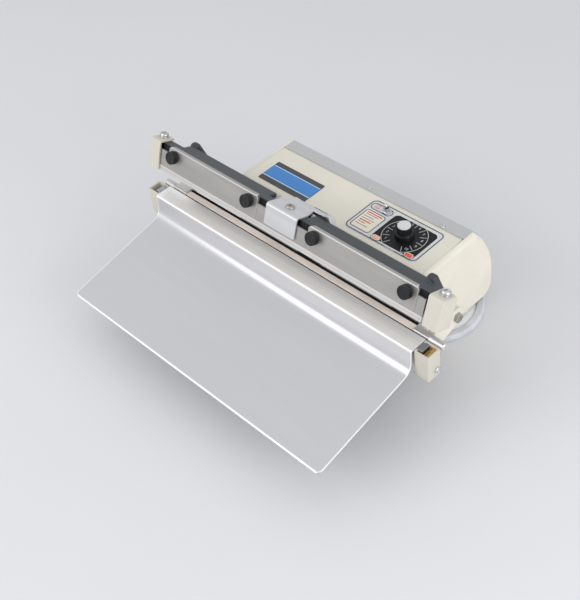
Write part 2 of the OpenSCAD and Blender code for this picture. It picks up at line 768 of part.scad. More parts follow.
module lower_beam() color(silver) at_jaw() difference() {
    union() {
        block(-beam_half, beam_half, beam_front, beam_back, beam_z, beam_top);
        block(-beam_half, beam_half, beam_front, flange_back, beam_top, seat_top);
    }
    block(-half_w, half_w, beam_front + beam_wall, beam_back - beam_wall,
          beam_z + beam_wall, beam_top - beam_wall);
}

// Where a block screw goes in, behind the front and above the bottom of the end blocks
function block_screw_y() = block_d * 0.68;
function block_screw_z() = block_h * 0.27;

module lower_block() color(cream) at_jaw() difference() {
    block(block_x, half_w, 0, block_d, 0, block_h);
    block(block_x + block_wall, half_w - block_wall, block_wall, block_d - block_wall,
          block_wall, block_h + 1);
    block(block_x - 1, block_x + block_wall + 1, block_wall, block_d - block_wall,
          block_h - notch_h, block_h + 1);
    rod_x(block_x - 1, half_w + 1, block_screw_d + 2 * fit, block_screw_y(), block_screw_z());
}

module lower_block_left() mirror([1, 0, 0]) lower_block();

module lower_block_right() lower_block();

module block_screws() color(steel) at_jaw() both_sides()
    translate([half_w, block_screw_y(), block_screw_z()]) rotate([0, 90, 0])
        pan_screw(block_screw_d * 1.9, block_screw_d * 0.7, block_screw_d, block_w + arm_t / 2);

// Metal lugs inside the end blocks, hooked over the low part of their inner walls
module block_lugs() color(silver) at_jaw() both_sides() {
    low = block_wall + lay_gap;
    difference() {
        union() {
            block(block_x + block_wall, block_x + block_wall + lug_t, low, block_d - low,
                  block_wall, block_h);
            block(block_x + lay_gap, block_x + block_wall + 1, low, block_d - low,
                  block_h - notch_h, block_h);
        }
        rod_x(block_x, half_w, block_screw_d + 2 * fit, block_screw_y(), block_screw_z());
    }
}

module brass_sleeve() color(brass) at_jaw() {
    x = half_w - block_wall - lay_gap - sleeve_d / 2;
    z = block_h - sleeve_d / 2 - 1.5;
    difference() {
        rod_y(block_wall, block_d - block_wall, sleeve_d, x, z);
        rod_y(0, block_d, sleeve_d * 0.55, x, z);
    }
}

module heater_seat() color(silver) at_jaw()
    block(-seat_left, seat_right, seat_front, seat_back, beam_top, seat_top);

module insulation_strip() color(black) at_jaw()
    block(-seat_left, seat_right, seat_front, seat_back, seat_top, ribbon_z);

module heating_ribbon() color(steel) at_jaw()
    block(-ribbon_half, ribbon_half, seal_y - ribbon_w / 2, seal_y + ribbon_w / 2,
          ribbon_z, ribbon_z + ribbon_t);

module release_sheet() color([0.80, 0.73, 0.66]) at_jaw()
    block(-seat_left, seat_right, seat_front, seat_front + release_w, ribbon_z + ribbon_t, seal_z);

module terminal_clamps() color([0.72, 0.72, 0.73]) at_jaw() difference() {
    union() {
        block(-beam_half, -terminal_x, seat_front, seat_back, beam_top, ribbon_z + terminal_h);
        block(terminal_right_x, beam_half, seat_front, seat_back, beam_top, ribbon_z + terminal_h);
        block(-stud_left, stud_right, seat_front, seat_front + terminal_d, beam_top, ribbon_z + terminal_h);
    }
    block(-terminal_x, terminal_right_x, seat_front - 1, seat_back + 1,
          beam_top - 1, ribbon_z + terminal_h + 1);
    block(-ribbon_half - lay_gap, ribbon_half + lay_gap,
          seal_y - ribbon_w / 2 - fit, seal_y + ribbon_w / 2 + fit,
          ribbon_z - fit, ribbon_z + ribbon_t + fit);
    rod_x(-stud_left - 1, -stud_left + 4, stud_d / 2 + 2 * fit, stud_y, stud_z);
    rod_x(stud_right - 4, stud_right + 1, stud_d / 2 + 2 * fit, stud_y, stud_z);
}

// A stud from x0 to x1 whose thin end goes into a terminal clamp
module stud(x0, x1) {
    rod_x(x0 - 3.5, x0 + 1, stud_d / 2, stud_y, stud_z);
    rod_x(x0, x1 - 1, stud_d, stud_y, stud_z);
    translate([x1 - 1, stud_y, stud_z]) rotate([0, 90, 0]) cylinder(h = 1, d1 = stud_d, d2 = stud_d - 2);
}

module terminal_studs() color(silver) at_jaw() {
    stud(stud_right, half_w + 2);
    mirror([1, 0, 0]) stud(stud_left, half_w - 7);
}

// Eye and front plate of a fixed hinge arm
module hinge_arms() color(cream) at_jaw() both_sides() difference() {
    hull() {
        rod_x(beam_half, block_x, 2 * eye_r, hinge_y, hinge_z);
        block(beam_half, block_x, beam_front + 1, beam_back - 4, beam_z + 1, beam_top - 5);
    }
    rod_x(beam_half - 1, block_x + 1, bolt_d + 2 * fit, hinge_y, hinge_z);
    rod_x(beam_half - 1, block_x + 1, block_screw_d + 2 * fit, block_screw_y(), block_screw_z());
}

module hinge_bolts() color(steel) at_jaw() both_sides() {
    rod_x(jaw_arm_x - 6, block_x + 1, bolt_d, hinge_y, hinge_z);
    rod_x(jaw_arm_x - 5, jaw_arm_x - slide_gap, bolt_d * 1.6, hinge_y, hinge_z);
    rod_x(beam_half - washer_t + slide_gap, beam_half, bolt_d * 1.6, hinge_y, hinge_z);
    translate([block_x, hinge_y, hinge_z]) rotate([0, 90, 0]) cylinder(h = 4.5, d = bolt_d * 1.6, $fn = 6);
}

// Height of the table's face at a place in front of the end blocks
function table_z(y) = flange_z - table_step + (y + table_bend + table_lean) * tan(table_slope);

module work_table() color([0.80, 0.81, 0.82]) at_jaw() difference() {
    front = hem_d / 2 - table_reach;
    union() {
        slab_x(-table_half, table_half)
            sheet_section([[flange_back, flange_z], [-table_bend, flange_z],
                           [-table_bend - table_lean, flange_z - table_step], [front, table_z(front)]],
                          [2.4, 10], table_t);
        rod_x(-table_half, table_half, hem_d, front, table_z(front) - hem_d / 2);
    }
    both_sides() translate([table_half - table_corner_r, table_corner_r - table_reach, -jaw_z]) difference() {
        translate([0, -table_corner_r - 1, 0])
            cube([table_corner_r + 1, table_corner_r + 1, jaw_z + beam_top]);
        cylinder(h = jaw_z + beam_top, r = table_corner_r);
    }
}

// Bent straps that carry the table from the front face of the lower beam
module table_brackets() color(steel) at_jaw() both_sides() {
    strap_t = 2;
    foot = beam_front - strap_t;
    tip = -table_reach / 2;
    drop = table_t / cos(table_slope);
    slab_x(table_bracket_x - 12, table_bracket_x + 12)
        sheet_section([[foot, beam_top - 4], [foot, table_z(foot) - drop], [tip, table_z(tip) - drop]],
                      [3], strap_t);
}

// Upper jaw

module press_bar() color(black) opened() difference() {
    union() {
        block(-bar_half, bar_half, plate_back, bar_rear, step_z, bar_top);
        block(-bar_half, bar_half, web_back, bar_rear, lip_top, step_z + 1);
    }
    both_sides() block(recess_x + bar_wall, shoulder_x - shoulder_r - bar_wall, web_back + bar_wall,
                       bar_rear - bar_wall, lip_top + bar_wall, bar_top - bar_wall);
    block(-recess_x, recess_right, nose_back, bar_rear + 1, lip_top - 1, bar_top + 1);
    both_sides() difference() {
        block(shoulder_x - shoulder_r, bar_half + 1, nose_back, bar_rear + 1, lip_top - 1, bar_top + 1);
        hull() {
            rod_y(nose_back - 1, bar_rear + 2, 2 * shoulder_r, shoulder_x - shoulder_r, bar_top - shoulder_r);
            block(shoulder_x - 2 * shoulder_r, shoulder_x, nose_back - 1, bar_rear + 2, lip_top - 2, lip_top);
        }
    }
    thumb_places() rod_y(0, web_back + bar_wall + 1, thumb_shank_d + 2 * fit, 0, 0);
    both_sides()
        rod_z(step_z, bar_top + 1, cap_screw_d * 0.45 + 2 * fit, upper_half - block_w / 2, cap_screw_y);
    rod_z(step_z, bar_top + 1, cap_screw_d * 0.45 + 2 * fit, 0, cap_screw_y);
}

// Front faces of the clamp plates where the four thumbscrews go in
module thumb_places(first = 0, last = 3)
    for (i = [first:last])
        translate([thumb_x(i), 0, thumb_z]) children();

function thumb_x(i) =
    let (far = plate_x + plate_l - thumb_inset, near = plate_x + thumb_inset)
    [-far, -near, near, far][i];

// Front wall of the jaw profile from x0 to x1, in line with the clamp plates
module front_wall(x0, x1) {
    block(x0, x1, plate_front + lay_gap, plate_back + 1, lip_top - 1, step_z);
    block(x0, x1, plate_front + lay_gap, plate_back - lay_gap, lip_top - 1, step_z + wall_rise);
}

module jaw_profile() color(silver) opened() difference() {
    union() {
        block(-bar_half, bar_half, plate_front, bar_back, upper_z, lip_top);
        block(-bar_half, bar_half, plate_back, web_back, lip_top - 1, step_z);
        front_wall(lay_gap - plate_x, plate_x - lay_gap);
        both_sides() front_wall(plate_x + plate_l + lay_gap, bar_half);
    }
    block(-half_w, half_w, seal_y - rubber_w / 2 - fit, seal_y + rubber_w / 2 + fit,
          upper_z - 1, upper_z + groove_h);
    both_sides() block(shoulder_x, bar_half + 1, nose_back, bar_back + 1, upper_z - 1, lip_top + 1);
}

module rubber_strip() color(black) opened()
    block(-seat_left + 1, seat_right - 1, seal_y - rubber_w / 2, seal_y + rubber_w / 2,
          seal_z + seal_gap, upper_z + groove_h);

module clamp_plate() color([0.70, 0.69, 0.67]) opened() difference() {
    union() {
        block(plate_x, plate_x + plate_l, plate_front, plate_back, lip_top + lay_gap, bar_top + 1);
        block(plate_x, plate_x + plate_l, plate_front, plate_front + plate_return, bar_top, bar_top + 1.2);
    }
    thumb_places(2, 3) rod_y(0, plate_back + 1, thumb_shank_d + 2 * fit, 0, 0);
}

module clamp_plate_left() mirror([1, 0, 0]) clamp_plate();

module clamp_plate_right() clamp_plate();

module thumbscrew(i) color(black) opened() thumb_places(i, i) {
    rod_y(plate_front - slide_gap - thumb_l, plate_front - slide_gap, thumb_d, 0, 0);
    rod_y(plate_front - slide_gap - 1, web_back + bar_wall, thumb_shank_d, 0, 0);
}

module thumbscrew_1() thumbscrew(0);

module thumbscrew_2() thumbscrew(1);

module thumbscrew_3() thumbscrew(2);

module thumbscrew_4() thumbscrew(3);

// A saddle over the press bar that narrows to its rear, with a tail down to the pull pin, a curled tab
// behind the bar on the right and a low tab in the bar's recess on the left
module centre_bracket() color(silver) opened() difference() {
    flap = plate_front - bracket_t;
    half = bracket_w / 2;
    rear_half = bracket_rear_w / 2;
    tip = recess_x + 7.5;
    union() {
        difference() {
            slab_x(-half, half)
                sheet_section([[flap, lip_top + 3], [flap, bracket_top], [bracket_back, bracket_top]],
                              [bracket_t + 1], -bracket_t);
            both_sides() translate([0, 0, bar_top - 1]) linear_extrude(bracket_t + 2)
                polygon([[half, nose_back - 2], [rear_half, bracket_back - 1], [rear_half, bracket_back + 1],
                         [half + 1, bracket_back + 1], [half + 1, nose_back - 2]]);
        }
        slab_x(-tail_w / 2, tail_w / 2)
            sheet_section([[bracket_back - 6, bracket_top], [bracket_back, bracket_top],
                           [pin_y + bracket_t / 2, pin_shut_z]], [bracket_t + 1], -bracket_t);
        rod_x(-tail_w / 2, tail_w / 2, pull_pin_d + 4, pin_y, pin_shut_z);
        translate([0, bracket_back - 1, 0]) rotate([90, 0, 0]) linear_extrude(bracket_back - bar_rear - 2)
            sheet_section([[rear_half - 4, bracket_top], [recess_x - 4, bracket_top],
                           [tip - 4, bracket_top + 2.5], [tip, bracket_top - 5]], [6, 3], -bracket_t);
        translate([0, bar_rear - 1.5, 0]) rotate([90, 0, 0]) linear_extrude(bar_rear - nose_back - 3.5)
            sheet_section([[-rear_half + 1, bracket_top], [-half, bracket_top],
                           [lay_gap + 1 - recess_x, bar_top - 3]], [4], bracket_t);
    }
    rod_x(-half_w, half_w, pull_pin_d + 2 * fit, pin_y, pin_shut_z);
    rod_z(bar_top - 1, bracket_top + 1, cap_screw_d * 0.45 + 2 * fit, 0, cap_screw_y);
}

module bracket_screw() color(silver) opened()
    translate([0, cap_screw_y, bracket_top])
        pan_screw(cap_screw_d, 3, cap_screw_d * 0.45, bracket_t + bar_wall);

module pull_pin() color(steel) opened()
    rod_x(-cheek_x - cheek_t - 1, cheek_x + cheek_t + 1, pull_pin_d, pin_y, pin_shut_z);

// A cap that is open to the inside, below and behind
module upper_cap() color(cream) opened() difference() {
    inner = upper_half - block_w;
    block(inner, upper_half, 0, cap_d, upper_z, upper_z + block_h);
    block(inner - 1, upper_half - block_wall, block_wall, cap_d + 1, upper_z - 1, bar_top);
    rod_z(bar_top - 1, upper_z + block_h + 1, cap_screw_d * 0.45 + 2 * fit, inner + block_w / 2, cap_screw_y);
}

module upper_cap_left() mirror([1, 0, 0]) upper_cap();

module upper_cap_right() upper_cap();

module cap_screws() color(steel) opened() both_sides()
    translate([upper_half - block_w / 2, cap_screw_y, upper_z + block_h])
        pan_screw(cap_screw_d, 5, cap_screw_d * 0.45, block_wall + bar_wall);

// Arms from the rear face of the press bar down to the hinge bolts
module jaw_arms() color(black) opened() both_sides() difference() {
    hull() {
        rod_x(jaw_arm_x, jaw_arm_x + jaw_arm_t, 2 * eye_r, hinge_y, hinge_z);
        rod_x(jaw_arm_x, jaw_arm_x + jaw_arm_t, 2 * lobe_r, bar_rear + lobe_r, bar_top - lobe_r / 2);
        block(jaw_arm_x, jaw_arm_x + jaw_arm_t, bar_rear, bar_rear + 3, lip_top + 1.5, bar_top - shoulder_r);
    }
    rod_x(jaw_arm_x - 1, jaw_arm_x + jaw_arm_t + 1, bolt_d + 2 * fit, hinge_y, hinge_z);
}

base_tray();
end_cover_left();
end_cover_right();
top_panel();
rear_cover();
cover_screws();
control_plate();
stripe_plate();
pilot_lamps();
timer_pot();
switch_body();
bush_nuts();
transformer_core();
transformer_coil();
solenoid_frame();
solenoid_coil();
return_spring();
circuit_board();
board_posts();
chassis_plate();
cord_gland();
foot_dishes();
foot_rims();
foot_bolts();
lower_beam();
lower_block_left();
lower_block_right();
block_screws();
block_lugs();
brass_sleeve();
heater_seat();
insulation_strip();
heating_ribbon();
release_sheet();
terminal_clamps();
terminal_studs();
work_table();
table_brackets();
hinge_arms();
hinge_bolts();
press_bar();
jaw_profile();
rubber_strip();
clamp_plate_left();
clamp_plate_right();
centre_bracket();
bracket_screw();
upper_cap_left();
upper_cap_right();
cap_screws();
jaw_arms();
pull_pin();
thumbscrew_1();
thumbscrew_2();
thumbscrew_3();
thumbscrew_4();
timer_knob();
knob_cap();
timer_spindle();
toggle_lever();
closing_plunger();
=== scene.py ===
import json
import math

import bmesh
import bpy
import numpy as np
from bpy.props import FloatProperty, FloatVectorProperty, IntProperty, PointerProperty
from mathutils import Matrix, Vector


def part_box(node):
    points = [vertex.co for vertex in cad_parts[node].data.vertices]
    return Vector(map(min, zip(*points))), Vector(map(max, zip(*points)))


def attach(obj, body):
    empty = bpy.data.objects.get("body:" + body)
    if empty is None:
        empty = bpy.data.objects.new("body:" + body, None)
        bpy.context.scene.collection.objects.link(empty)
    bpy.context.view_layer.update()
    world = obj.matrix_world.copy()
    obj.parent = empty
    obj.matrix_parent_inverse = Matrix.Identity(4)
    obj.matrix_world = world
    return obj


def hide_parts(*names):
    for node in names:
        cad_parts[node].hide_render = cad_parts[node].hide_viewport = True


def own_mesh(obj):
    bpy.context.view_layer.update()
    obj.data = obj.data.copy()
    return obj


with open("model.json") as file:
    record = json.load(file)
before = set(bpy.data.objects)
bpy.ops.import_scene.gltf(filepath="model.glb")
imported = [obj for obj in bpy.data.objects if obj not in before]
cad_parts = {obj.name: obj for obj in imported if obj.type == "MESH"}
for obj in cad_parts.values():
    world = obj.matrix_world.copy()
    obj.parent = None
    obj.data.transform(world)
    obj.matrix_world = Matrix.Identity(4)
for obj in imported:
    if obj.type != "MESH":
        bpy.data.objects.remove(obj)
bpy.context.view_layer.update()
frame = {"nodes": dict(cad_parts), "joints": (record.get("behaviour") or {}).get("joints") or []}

bl_info = {
    "name": "Impulse sealer",
    "version": (1, 0, 0),
    "blender": (4, 5, 0),
    "location": "3D View > Sidebar > Sealer",
    "description": "Dresses the packed sealer: sheet metal, jaws, controls, feet and a pale studio",
    "category": "Object",
}

# Places taken from the frame, in millimetres

MM = 0.001


def corners_mm(node):
    """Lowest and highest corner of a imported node, in millimetres."""
    low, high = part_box(node)
    return np.array(low) / MM, np.array(high) / MM


JOINTS = {joint["name"]: joint for joint in frame["joints"]}
HINGE = np.array(JOINTS["jaw_hinge"]["pos_m"]) / MM
OPEN = math.radians(JOINTS["jaw_hinge"]["range_deg"][1])
TIMER = np.array(JOINTS["timer_turn"]["pos_m"]) / MM
TOGGLE = np.array(JOINTS["toggle_tip"]["pos_m"]) / MM
BLOCK_LOW, BLOCK_HIGH = corners_mm("lower_block_right")
JAW = np.array([0.0, BLOCK_LOW[1], BLOCK_LOW[2]])
BLOCK_X = BLOCK_LOW[0]
PANEL_TOP = corners_mm("top_panel")[1][2]
LABEL_TOP = corners_mm("control_plate")[1][2]
SEAM_X = corners_mm("rear_cover")[1][0]
ROOT = "sealer_body"
UPPER = "upper_jaw"

# Radius that stands for the axis in a turned profile, and how deep a print starts in its plate
AXIS_R = 0.02
SINK = 0.02


class SealerSizes(bpy.types.PropertyGroup):
    """Sizes of the dressed pieces that a user would change."""

    edge: FloatProperty(
        name="Rim rounding", description="Width of the rounding on the thin rims of the cream caps",
        default=0.0003, unit="LENGTH")
    block_corner: FloatProperty(
        name="Block corners", description="Corner radius of the cream end blocks",
        default=0.0012, unit="LENGTH")
    cap_corner: FloatProperty(
        name="Cap corners", description="Corner radius of the cream caps on the press bar",
        default=0.0023, unit="LENGTH")
    sheet_bend: FloatProperty(
        name="Sheet bend", description="Radius of the bends in the panel and the bracket",
        default=0.003, unit="LENGTH")
    cover_fillet: FloatProperty(
        name="End cover fillet", description="How far the end covers draw in at their outer face",
        default=0.0037, unit="LENGTH")
    table_corner: FloatProperty(
        name="Table corner", description="Radius of the work table's front corners",
        default=0.006, unit="LENGTH")
    plate_corner: FloatProperty(
        name="Clamp plate corner", description="Radius of the clamp plates' upper corners",
        default=0.0034, unit="LENGTH")
    thumb_flutes: IntProperty(
        name="Thumbscrew ribs", description="Ribs round a thumbscrew head", default=20, min=12)
    knob_flutes: IntProperty(
        name="Knob ribs", description="Ribs round the timer knob", default=22, min=8)
    dial_radius: FloatProperty(
        name="Dial ring", description="Radius of the printed ring round the timer knob",
        default=0.0222, unit="LENGTH")
    digit_height: FloatProperty(
        name="Dial digits", description="Height of the printed dial numbers",
        default=0.0042, unit="LENGTH")
    print_height: FloatProperty(
        name="Print height", description="How far a print stands off its plate",
        default=0.00006, unit="LENGTH")


class SealerColours(bpy.types.PropertyGroup):
    """Base colours of the finishes, as linear values."""

    cream: FloatVectorProperty(
        name="Cream", description="Paint of the panel and mouldings of the covers",
        default=(0.725, 0.685, 0.59), subtype="COLOR")
    grey_cover: FloatVectorProperty(
        name="Grey cover", description="Paint of the rear cover",
        default=(0.46, 0.46, 0.458), subtype="COLOR")
    table: FloatVectorProperty(
        name="Table", description="Satin sheet of the work table",
        default=(0.57, 0.565, 0.575), subtype="COLOR")
    # Painted light: lighter than the table to lift the shade under the open jaw, and warm as a painted
    # reflection
    flange: FloatVectorProperty(
        name="Table flange", description="Warm tint of the table beside the heated seal",
        default=(0.98, 0.95, 0.92), subtype="COLOR")
    alloy: FloatVectorProperty(
        name="Alloy", description="Extruded jaw profile",
        default=(0.63, 0.605, 0.585), subtype="COLOR")
    plate: FloatVectorProperty(
        name="Clamp plates", description="Anodised clamp plates",
        default=(0.37, 0.355, 0.335), subtype="COLOR")
    bar: FloatVectorProperty(
        name="Press bar", description="Black satin press bar",
        default=(0.050, 0.056, 0.060), subtype="COLOR")
    black: FloatVectorProperty(
        name="Black plastic", description="Knob and thumbscrews",
        default=(0.009, 0.010, 0.011), subtype="COLOR")
    foot: FloatVectorProperty(
        name="Foot dish", description="Pale dish of the feet",
        default=(0.92, 0.94, 0.97), subtype="COLOR")
    rim: FloatVectorProperty(
        name="Foot rim", description="Grey rubber rim of the feet",
        default=(0.58, 0.60, 0.63), subtype="COLOR")
    blue: FloatVectorProperty(
        name="Blue stripe", description="Middle stripe of the striped plate",
        default=(0.048, 0.22, 0.56), subtype="COLOR")
    red: FloatVectorProperty(
        name="Red", description="Red lens and red print",
        default=(0.72, 0.060, 0.040), subtype="COLOR")
    release: FloatVectorProperty(
        name="Release sheet", description="Coated glass cloth over the heating ribbon",
        default=(0.87, 0.76, 0.68), subtype="COLOR")


class SealerStudio(bpy.types.PropertyGroup):
    """Camera and light of the pale studio."""

    lens: FloatProperty(
        name="Lens", description="Focal length for a sensor 36 mm wide", default=63.0, unit="CAMERA")
    key: FloatProperty(
        name="Key light", description="Power of the large light in front of the table",
        default=9.0, unit="POWER")
    side: FloatProperty(
        name="Side light", description="Power of the light at the right end", default=6.5, unit="POWER")
    sky: FloatProperty(
        name="Room light", description="Strength of the even light all round", default=0.86)


# Outlines and surfaces

def unit(v):
    """Vectors scaled to length one along their last axis."""
    return v / np.linalg.norm(v, axis=-1, keepdims=True)


def spokes(turn):
    """Unit vectors at some angles, along a new last axis."""
    return np.stack([np.cos(turn), np.sin(turn)], -1)


def rounded(corners, radii, steps=6, closed=True, lead=0.12):
    """Path with round corners. An arc's hub lies on the corner's bisector, r / sin(half angle) from the
    corner, and the arc touches both sides r / tan(half angle) from it. A lead point past each end of
    the arc keeps the flats flat when they are shaded."""
    p = np.asarray(corners, float)
    if closed:
        before, at, after = np.roll(p, 1, 0), p, np.roll(p, -1, 0)
    else:
        before, at, after = p[:-2], p[1:-1], p[2:]
    r = np.broadcast_to(np.asarray(radii, float), (len(at),))
    a, b = unit(before - at), unit(after - at)
    half = np.arccos(np.clip((a * b).sum(1), -1, 1)) / 2
    reach = (r / np.tan(half))[:, None]
    hub = at + unit(a + b) * (r / np.sin(half))[:, None]
    first, last = at + a * reach - hub, at + b * reach - hub
    start = np.arctan2(first[:, 1], first[:, 0])
    sweep = np.arctan2(last[:, 1], last[:, 0]) - start
    sweep = (sweep + np.pi) % (2 * np.pi) - np.pi
    turn = start[:, None] + sweep[:, None] * np.linspace(0, 1, steps + 1)
    bow = hub[:, None] + r[:, None, None] * spokes(turn)
    ends = [(at + way * (reach + lead))[:, None] for way in (a, b)]
    line = np.concatenate([ends[0], bow, ends[1]], 1).reshape(-1, 2)
    return line if closed else np.concatenate([p[:1], line, p[-1:]])


def arc(hub, radius, start, stop, steps):
    """Points on a circle about the hub, from one angle to another in degrees."""
    turn = np.radians(np.linspace(start, stop, steps + 1))
    return np.asarray(hub, float) + radius * spokes(turn)


def ring(hub, radius, count):
    """Closed circle of count points about the hub."""
    return arc(hub, radius, 0, 360 * (count - 1) / count, count - 1)


def round_rect(low, high, radius, steps=6):
    """Closed rectangle between two corners, with round corners."""
    x0, y0 = low
    x1, y1 = high
    return rounded([(x0, y0), (x1, y0), (x1, y1), (x0, y1)], radius, steps)


def hull_of_discs(hubs, radii, count=160):
    """Outline of the hull of some discs: in each direction n the disc with the largest hub . n + r
    gives the point hub + r n."""
    hubs = np.asarray(hubs, float)
    radii = np.asarray(radii, float)
    n = spokes(np.linspace(0, 2 * np.pi, count, endpoint=False))
    best = np.argmax(n @ hubs.T + radii, 1)
    return hubs[best] + radii[best, None] * n


def side_of(path):
    """Unit normals of an open path, to the left of its direction."""
    d = unit(np.gradient(path, axis=0))
    return np.stack([-d[:, 1], d[:, 0]], 1)


def strip(path, thickness, steps=6):
    """Closed section of a sheet whose face is the path and whose back lies thickness to the left of
    it, with half-round edges: each edge is a half circle from the face to the back."""
    back = path + side_of(path) * thickness
    turn = np.linspace(0, np.pi, steps + 2)[1:-1, None]
    caps = []
    for end, before in ((-1, -2), (0, 1)):
        hub, spoke = (path[end] + back[end]) / 2, (path[end] - back[end]) / 2
        out = unit(path[end] - path[before]) * thickness / 2
        caps.append(hub + spoke * np.cos(turn) + out * np.sin(turn))
    return np.concatenate([path, caps[0], back[::-1], caps[1][::-1]])


def inward(line):
    """Normals of a closed outline towards its inside: the chord between the two neighbours of a point,
    turned a quarter turn, with the sign of the outline's area."""
    chord = np.roll(line, -1, 0) - np.roll(line, 1, 0)
    after = np.roll(line, -1, 0)
    area = (line[:, 0] * after[:, 1] - after[:, 0] * line[:, 1]).sum()
    return np.sign(area) * unit(np.stack([-chord[:, 1], chord[:, 0]], 1))


def lofted(line, insets, heights):
    """Rings of a solid: ring k is the outline drawn in by inset k, at height k."""
    insets = np.asarray(insets, float)[:, None, None]
    flat = line[None] + inward(line)[None] * insets
    tall = np.broadcast_to(np.asarray(heights, float)[:, None, None], flat.shape[:2] + (1,))
    return np.concatenate([flat, tall], 2)


def prism(line, low, high, edge=0.3, steps=3, lead=0.12):
    """Rings of a solid between two flat ends with round edges: over a quarter turn a the ring lies at
    edge (1 - cos a) from the end and is drawn in by edge (1 - sin a). Lead rings keep the flats flat."""
    a = np.linspace(0, np.pi / 2, steps + 1)
    inset = np.concatenate([[edge + lead], edge * (1 - np.sin(a)), [0]])
    rise = np.concatenate([[0], edge * (1 - np.cos(a)), [edge + lead]])
    heights = np.concatenate([low + rise, high - rise[::-1]])
    return lofted(line, np.concatenate([inset, inset[::-1]]), heights)


def slab(line, low, high):
    """Rings of a plain slab: the outline at two heights."""
    return lofted(line, [0, 0], [low, high])


def band(line, width, low, high):
    """Rings of a flat printed line that follows a closed outline: outside and inside walls, closed."""
    return lofted(line, [0, 0, width, width, 0], [low, high, high, low, low])


def turned(profile, count, wave=None):
    """Rings of a turned piece: each profile point (r, z) makes a circle. A wave adds wave(angle, r, z)
    to the radius."""
    profile = np.asarray(profile, float)
    r, z = np.maximum(profile[:, :1], AXIS_R), profile[:, 1:]
    turn = np.linspace(0, 2 * np.pi, count, endpoint=False)[None]
    if wave:
        r = r + wave(turn, r, z)
    return np.stack([r * np.cos(turn), r * np.sin(turn), z + 0 * turn], 2)


def lathe(corners, radii, steps=4):
    """Open profile of a turned piece, in radius and height, with round corners."""
    return rounded(corners, radii, steps, closed=False, lead=0.06)


def looped(profile):
    """A closed profile with its first point again at its end."""
    return np.concatenate([profile, profile[:1]])


def faded(z, low, high, over):
    """One between two heights, and down to nothing over a length inside each of them."""
    return np.clip((z - low) / over, 0, 1) * np.clip((high - z) / over, 0, 1)


def along_x(rings):
    """Section in y and z, carried along x."""
    return rings[..., [2, 0, 1]]


def along_y(rings):
    """Section in x and z, carried along y."""
    return rings[..., [0, 2, 1]]


def on_axis(rings, foot, axis):
    """Stands a piece on a foot point so that its z runs along the axis."""
    w = unit(np.asarray(axis, float))
    u = unit(np.cross((0, 0, 1) if abs(w[2]) < 0.9 else (0, 1, 0), w))
    basis = np.stack([u, np.cross(w, u), w])
    return np.asarray(foot, float) + rings @ basis


def mirrored(rings):
    """The same piece on the other side of the middle."""
    return rings * np.array([-1.0, 1.0, 1.0])


def as_drawn(rings):
    """The piece itself, where a loop also makes its twin."""
    return rings


SIDES = (("right", as_drawn), ("left", mirrored))


def at_jaw(rings):
    """From the front and bottom of the lower end blocks to the frame."""
    return rings + JAW


def at_body(rings):
    """From the front of the end blocks and the desk to the frame."""
    return rings + JAW * np.array([0, 1, 0])


def swung(rings):
    """From the shut upper jaw to its open place: a turn about the hinge."""
    p = rings + JAW - HINGE
    c, s = math.cos(OPEN), math.sin(OPEN)
    y, z = p[..., 1] * c + p[..., 2] * s, p[..., 2] * c - p[..., 1] * s
    return np.stack([p[..., 0], y, z], -1) + HINGE


# Making objects

# Angle past which an edge is drawn sharp: on most pieces, and on bent sheet with a bright edge
SMOOTH_DEG = 38
SHARP_DEG = 30


def new_object(name, data):
    """New object at the origin, linked to the scene."""
    obj = bpy.data.objects.new(name, data)
    bpy.context.scene.collection.objects.link(obj)
    return obj


def settle(mesh, angle=SMOOTH_DEG):
    """Merges doubles and shades the mesh smooth except at real edges."""
    bm = bmesh.new()
    bm.from_mesh(mesh)
    bmesh.ops.remove_doubles(bm, verts=bm.verts, dist=1e-7)
    bm.to_mesh(mesh)
    bm.free()
    mesh.shade_smooth()
    mesh.set_sharp_from_angle(angle=math.radians(angle))


def dress(obj, look, body, stands_for=()):
    """Gives an object its finish and its body, and hides the nodes it stands for."""
    obj.data.materials.append(finish(look))
    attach(obj, body)
    if stands_for:
        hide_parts(*stands_for)


def middles(rings):
    """Middle of each four-sided face between neighbouring rings."""
    pairs = rings[:-1] + rings[1:]
    return (pairs + np.roll(pairs, -1, 1)) / 4


def inside_out(rings):
    """Whether the faces that make() draws between the rings look inwards: the volume they close in,
    summed from the triple product of each face's corners, is below zero."""
    p = rings - rings.mean((0, 1))
    q = np.roll(p, -1, 1)
    volume = np.sum(p[:-1] * np.cross(q[:-1], q[1:])) + np.sum(p[:-1] * np.cross(q[1:], p[1:]))
    for end in (p[0, ::-1], p[-1]):
        volume += np.sum(end[0] * np.cross(end[1:-1], end[2:]))
    return volume < 0


def make(name, shells, look, body, stands_for=(), angle=SMOOTH_DEG, trim=None):
    """One object from closed shells. A shell is an array of rings; neighbouring rings are joined by
    four-sided faces that look outwards, and the first and last ring are closed by a flat face unless
    they meet. A trim is a second finish and the four-sided faces of each shell that have it."""
    points, faces, second, base = [], [], [], 0
    for rings in shells:
        rows, count = rings.shape[:2]
        index = base + np.arange(rows * count).reshape(rows, count)
        after = np.roll(index, -1, 1)
        sides = np.stack([index[:-1], after[:-1], after[1:], index[1:]], 2).reshape(-1, 4)
        ends = [] if np.allclose(rings[0], rings[-1]) else [index[0, ::-1], index[-1]]
        way = -1 if inside_out(rings) else 1
        faces += sides[:, ::way].tolist() + [end[::way].tolist() for end in ends]
        second += [trim[1].ravel() if trim else np.zeros(len(sides)), np.zeros(len(ends))]
        points.append(rings.reshape(-1, 3))
        base += rows * count
    mesh = bpy.data.meshes.new(name)
    mesh.from_pydata((np.concatenate(points) * MM).tolist(), [], faces)
    mesh.polygons.foreach_set("material_index", np.concatenate(second).astype(np.int32))
    settle(mesh, angle)
    obj = new_object(name, mesh)
    dress(obj, look, body, stands_for)
    if trim:
        mesh.materials.append(finish(trim[0]))
    return obj


# Finishes

FINISHES = {}


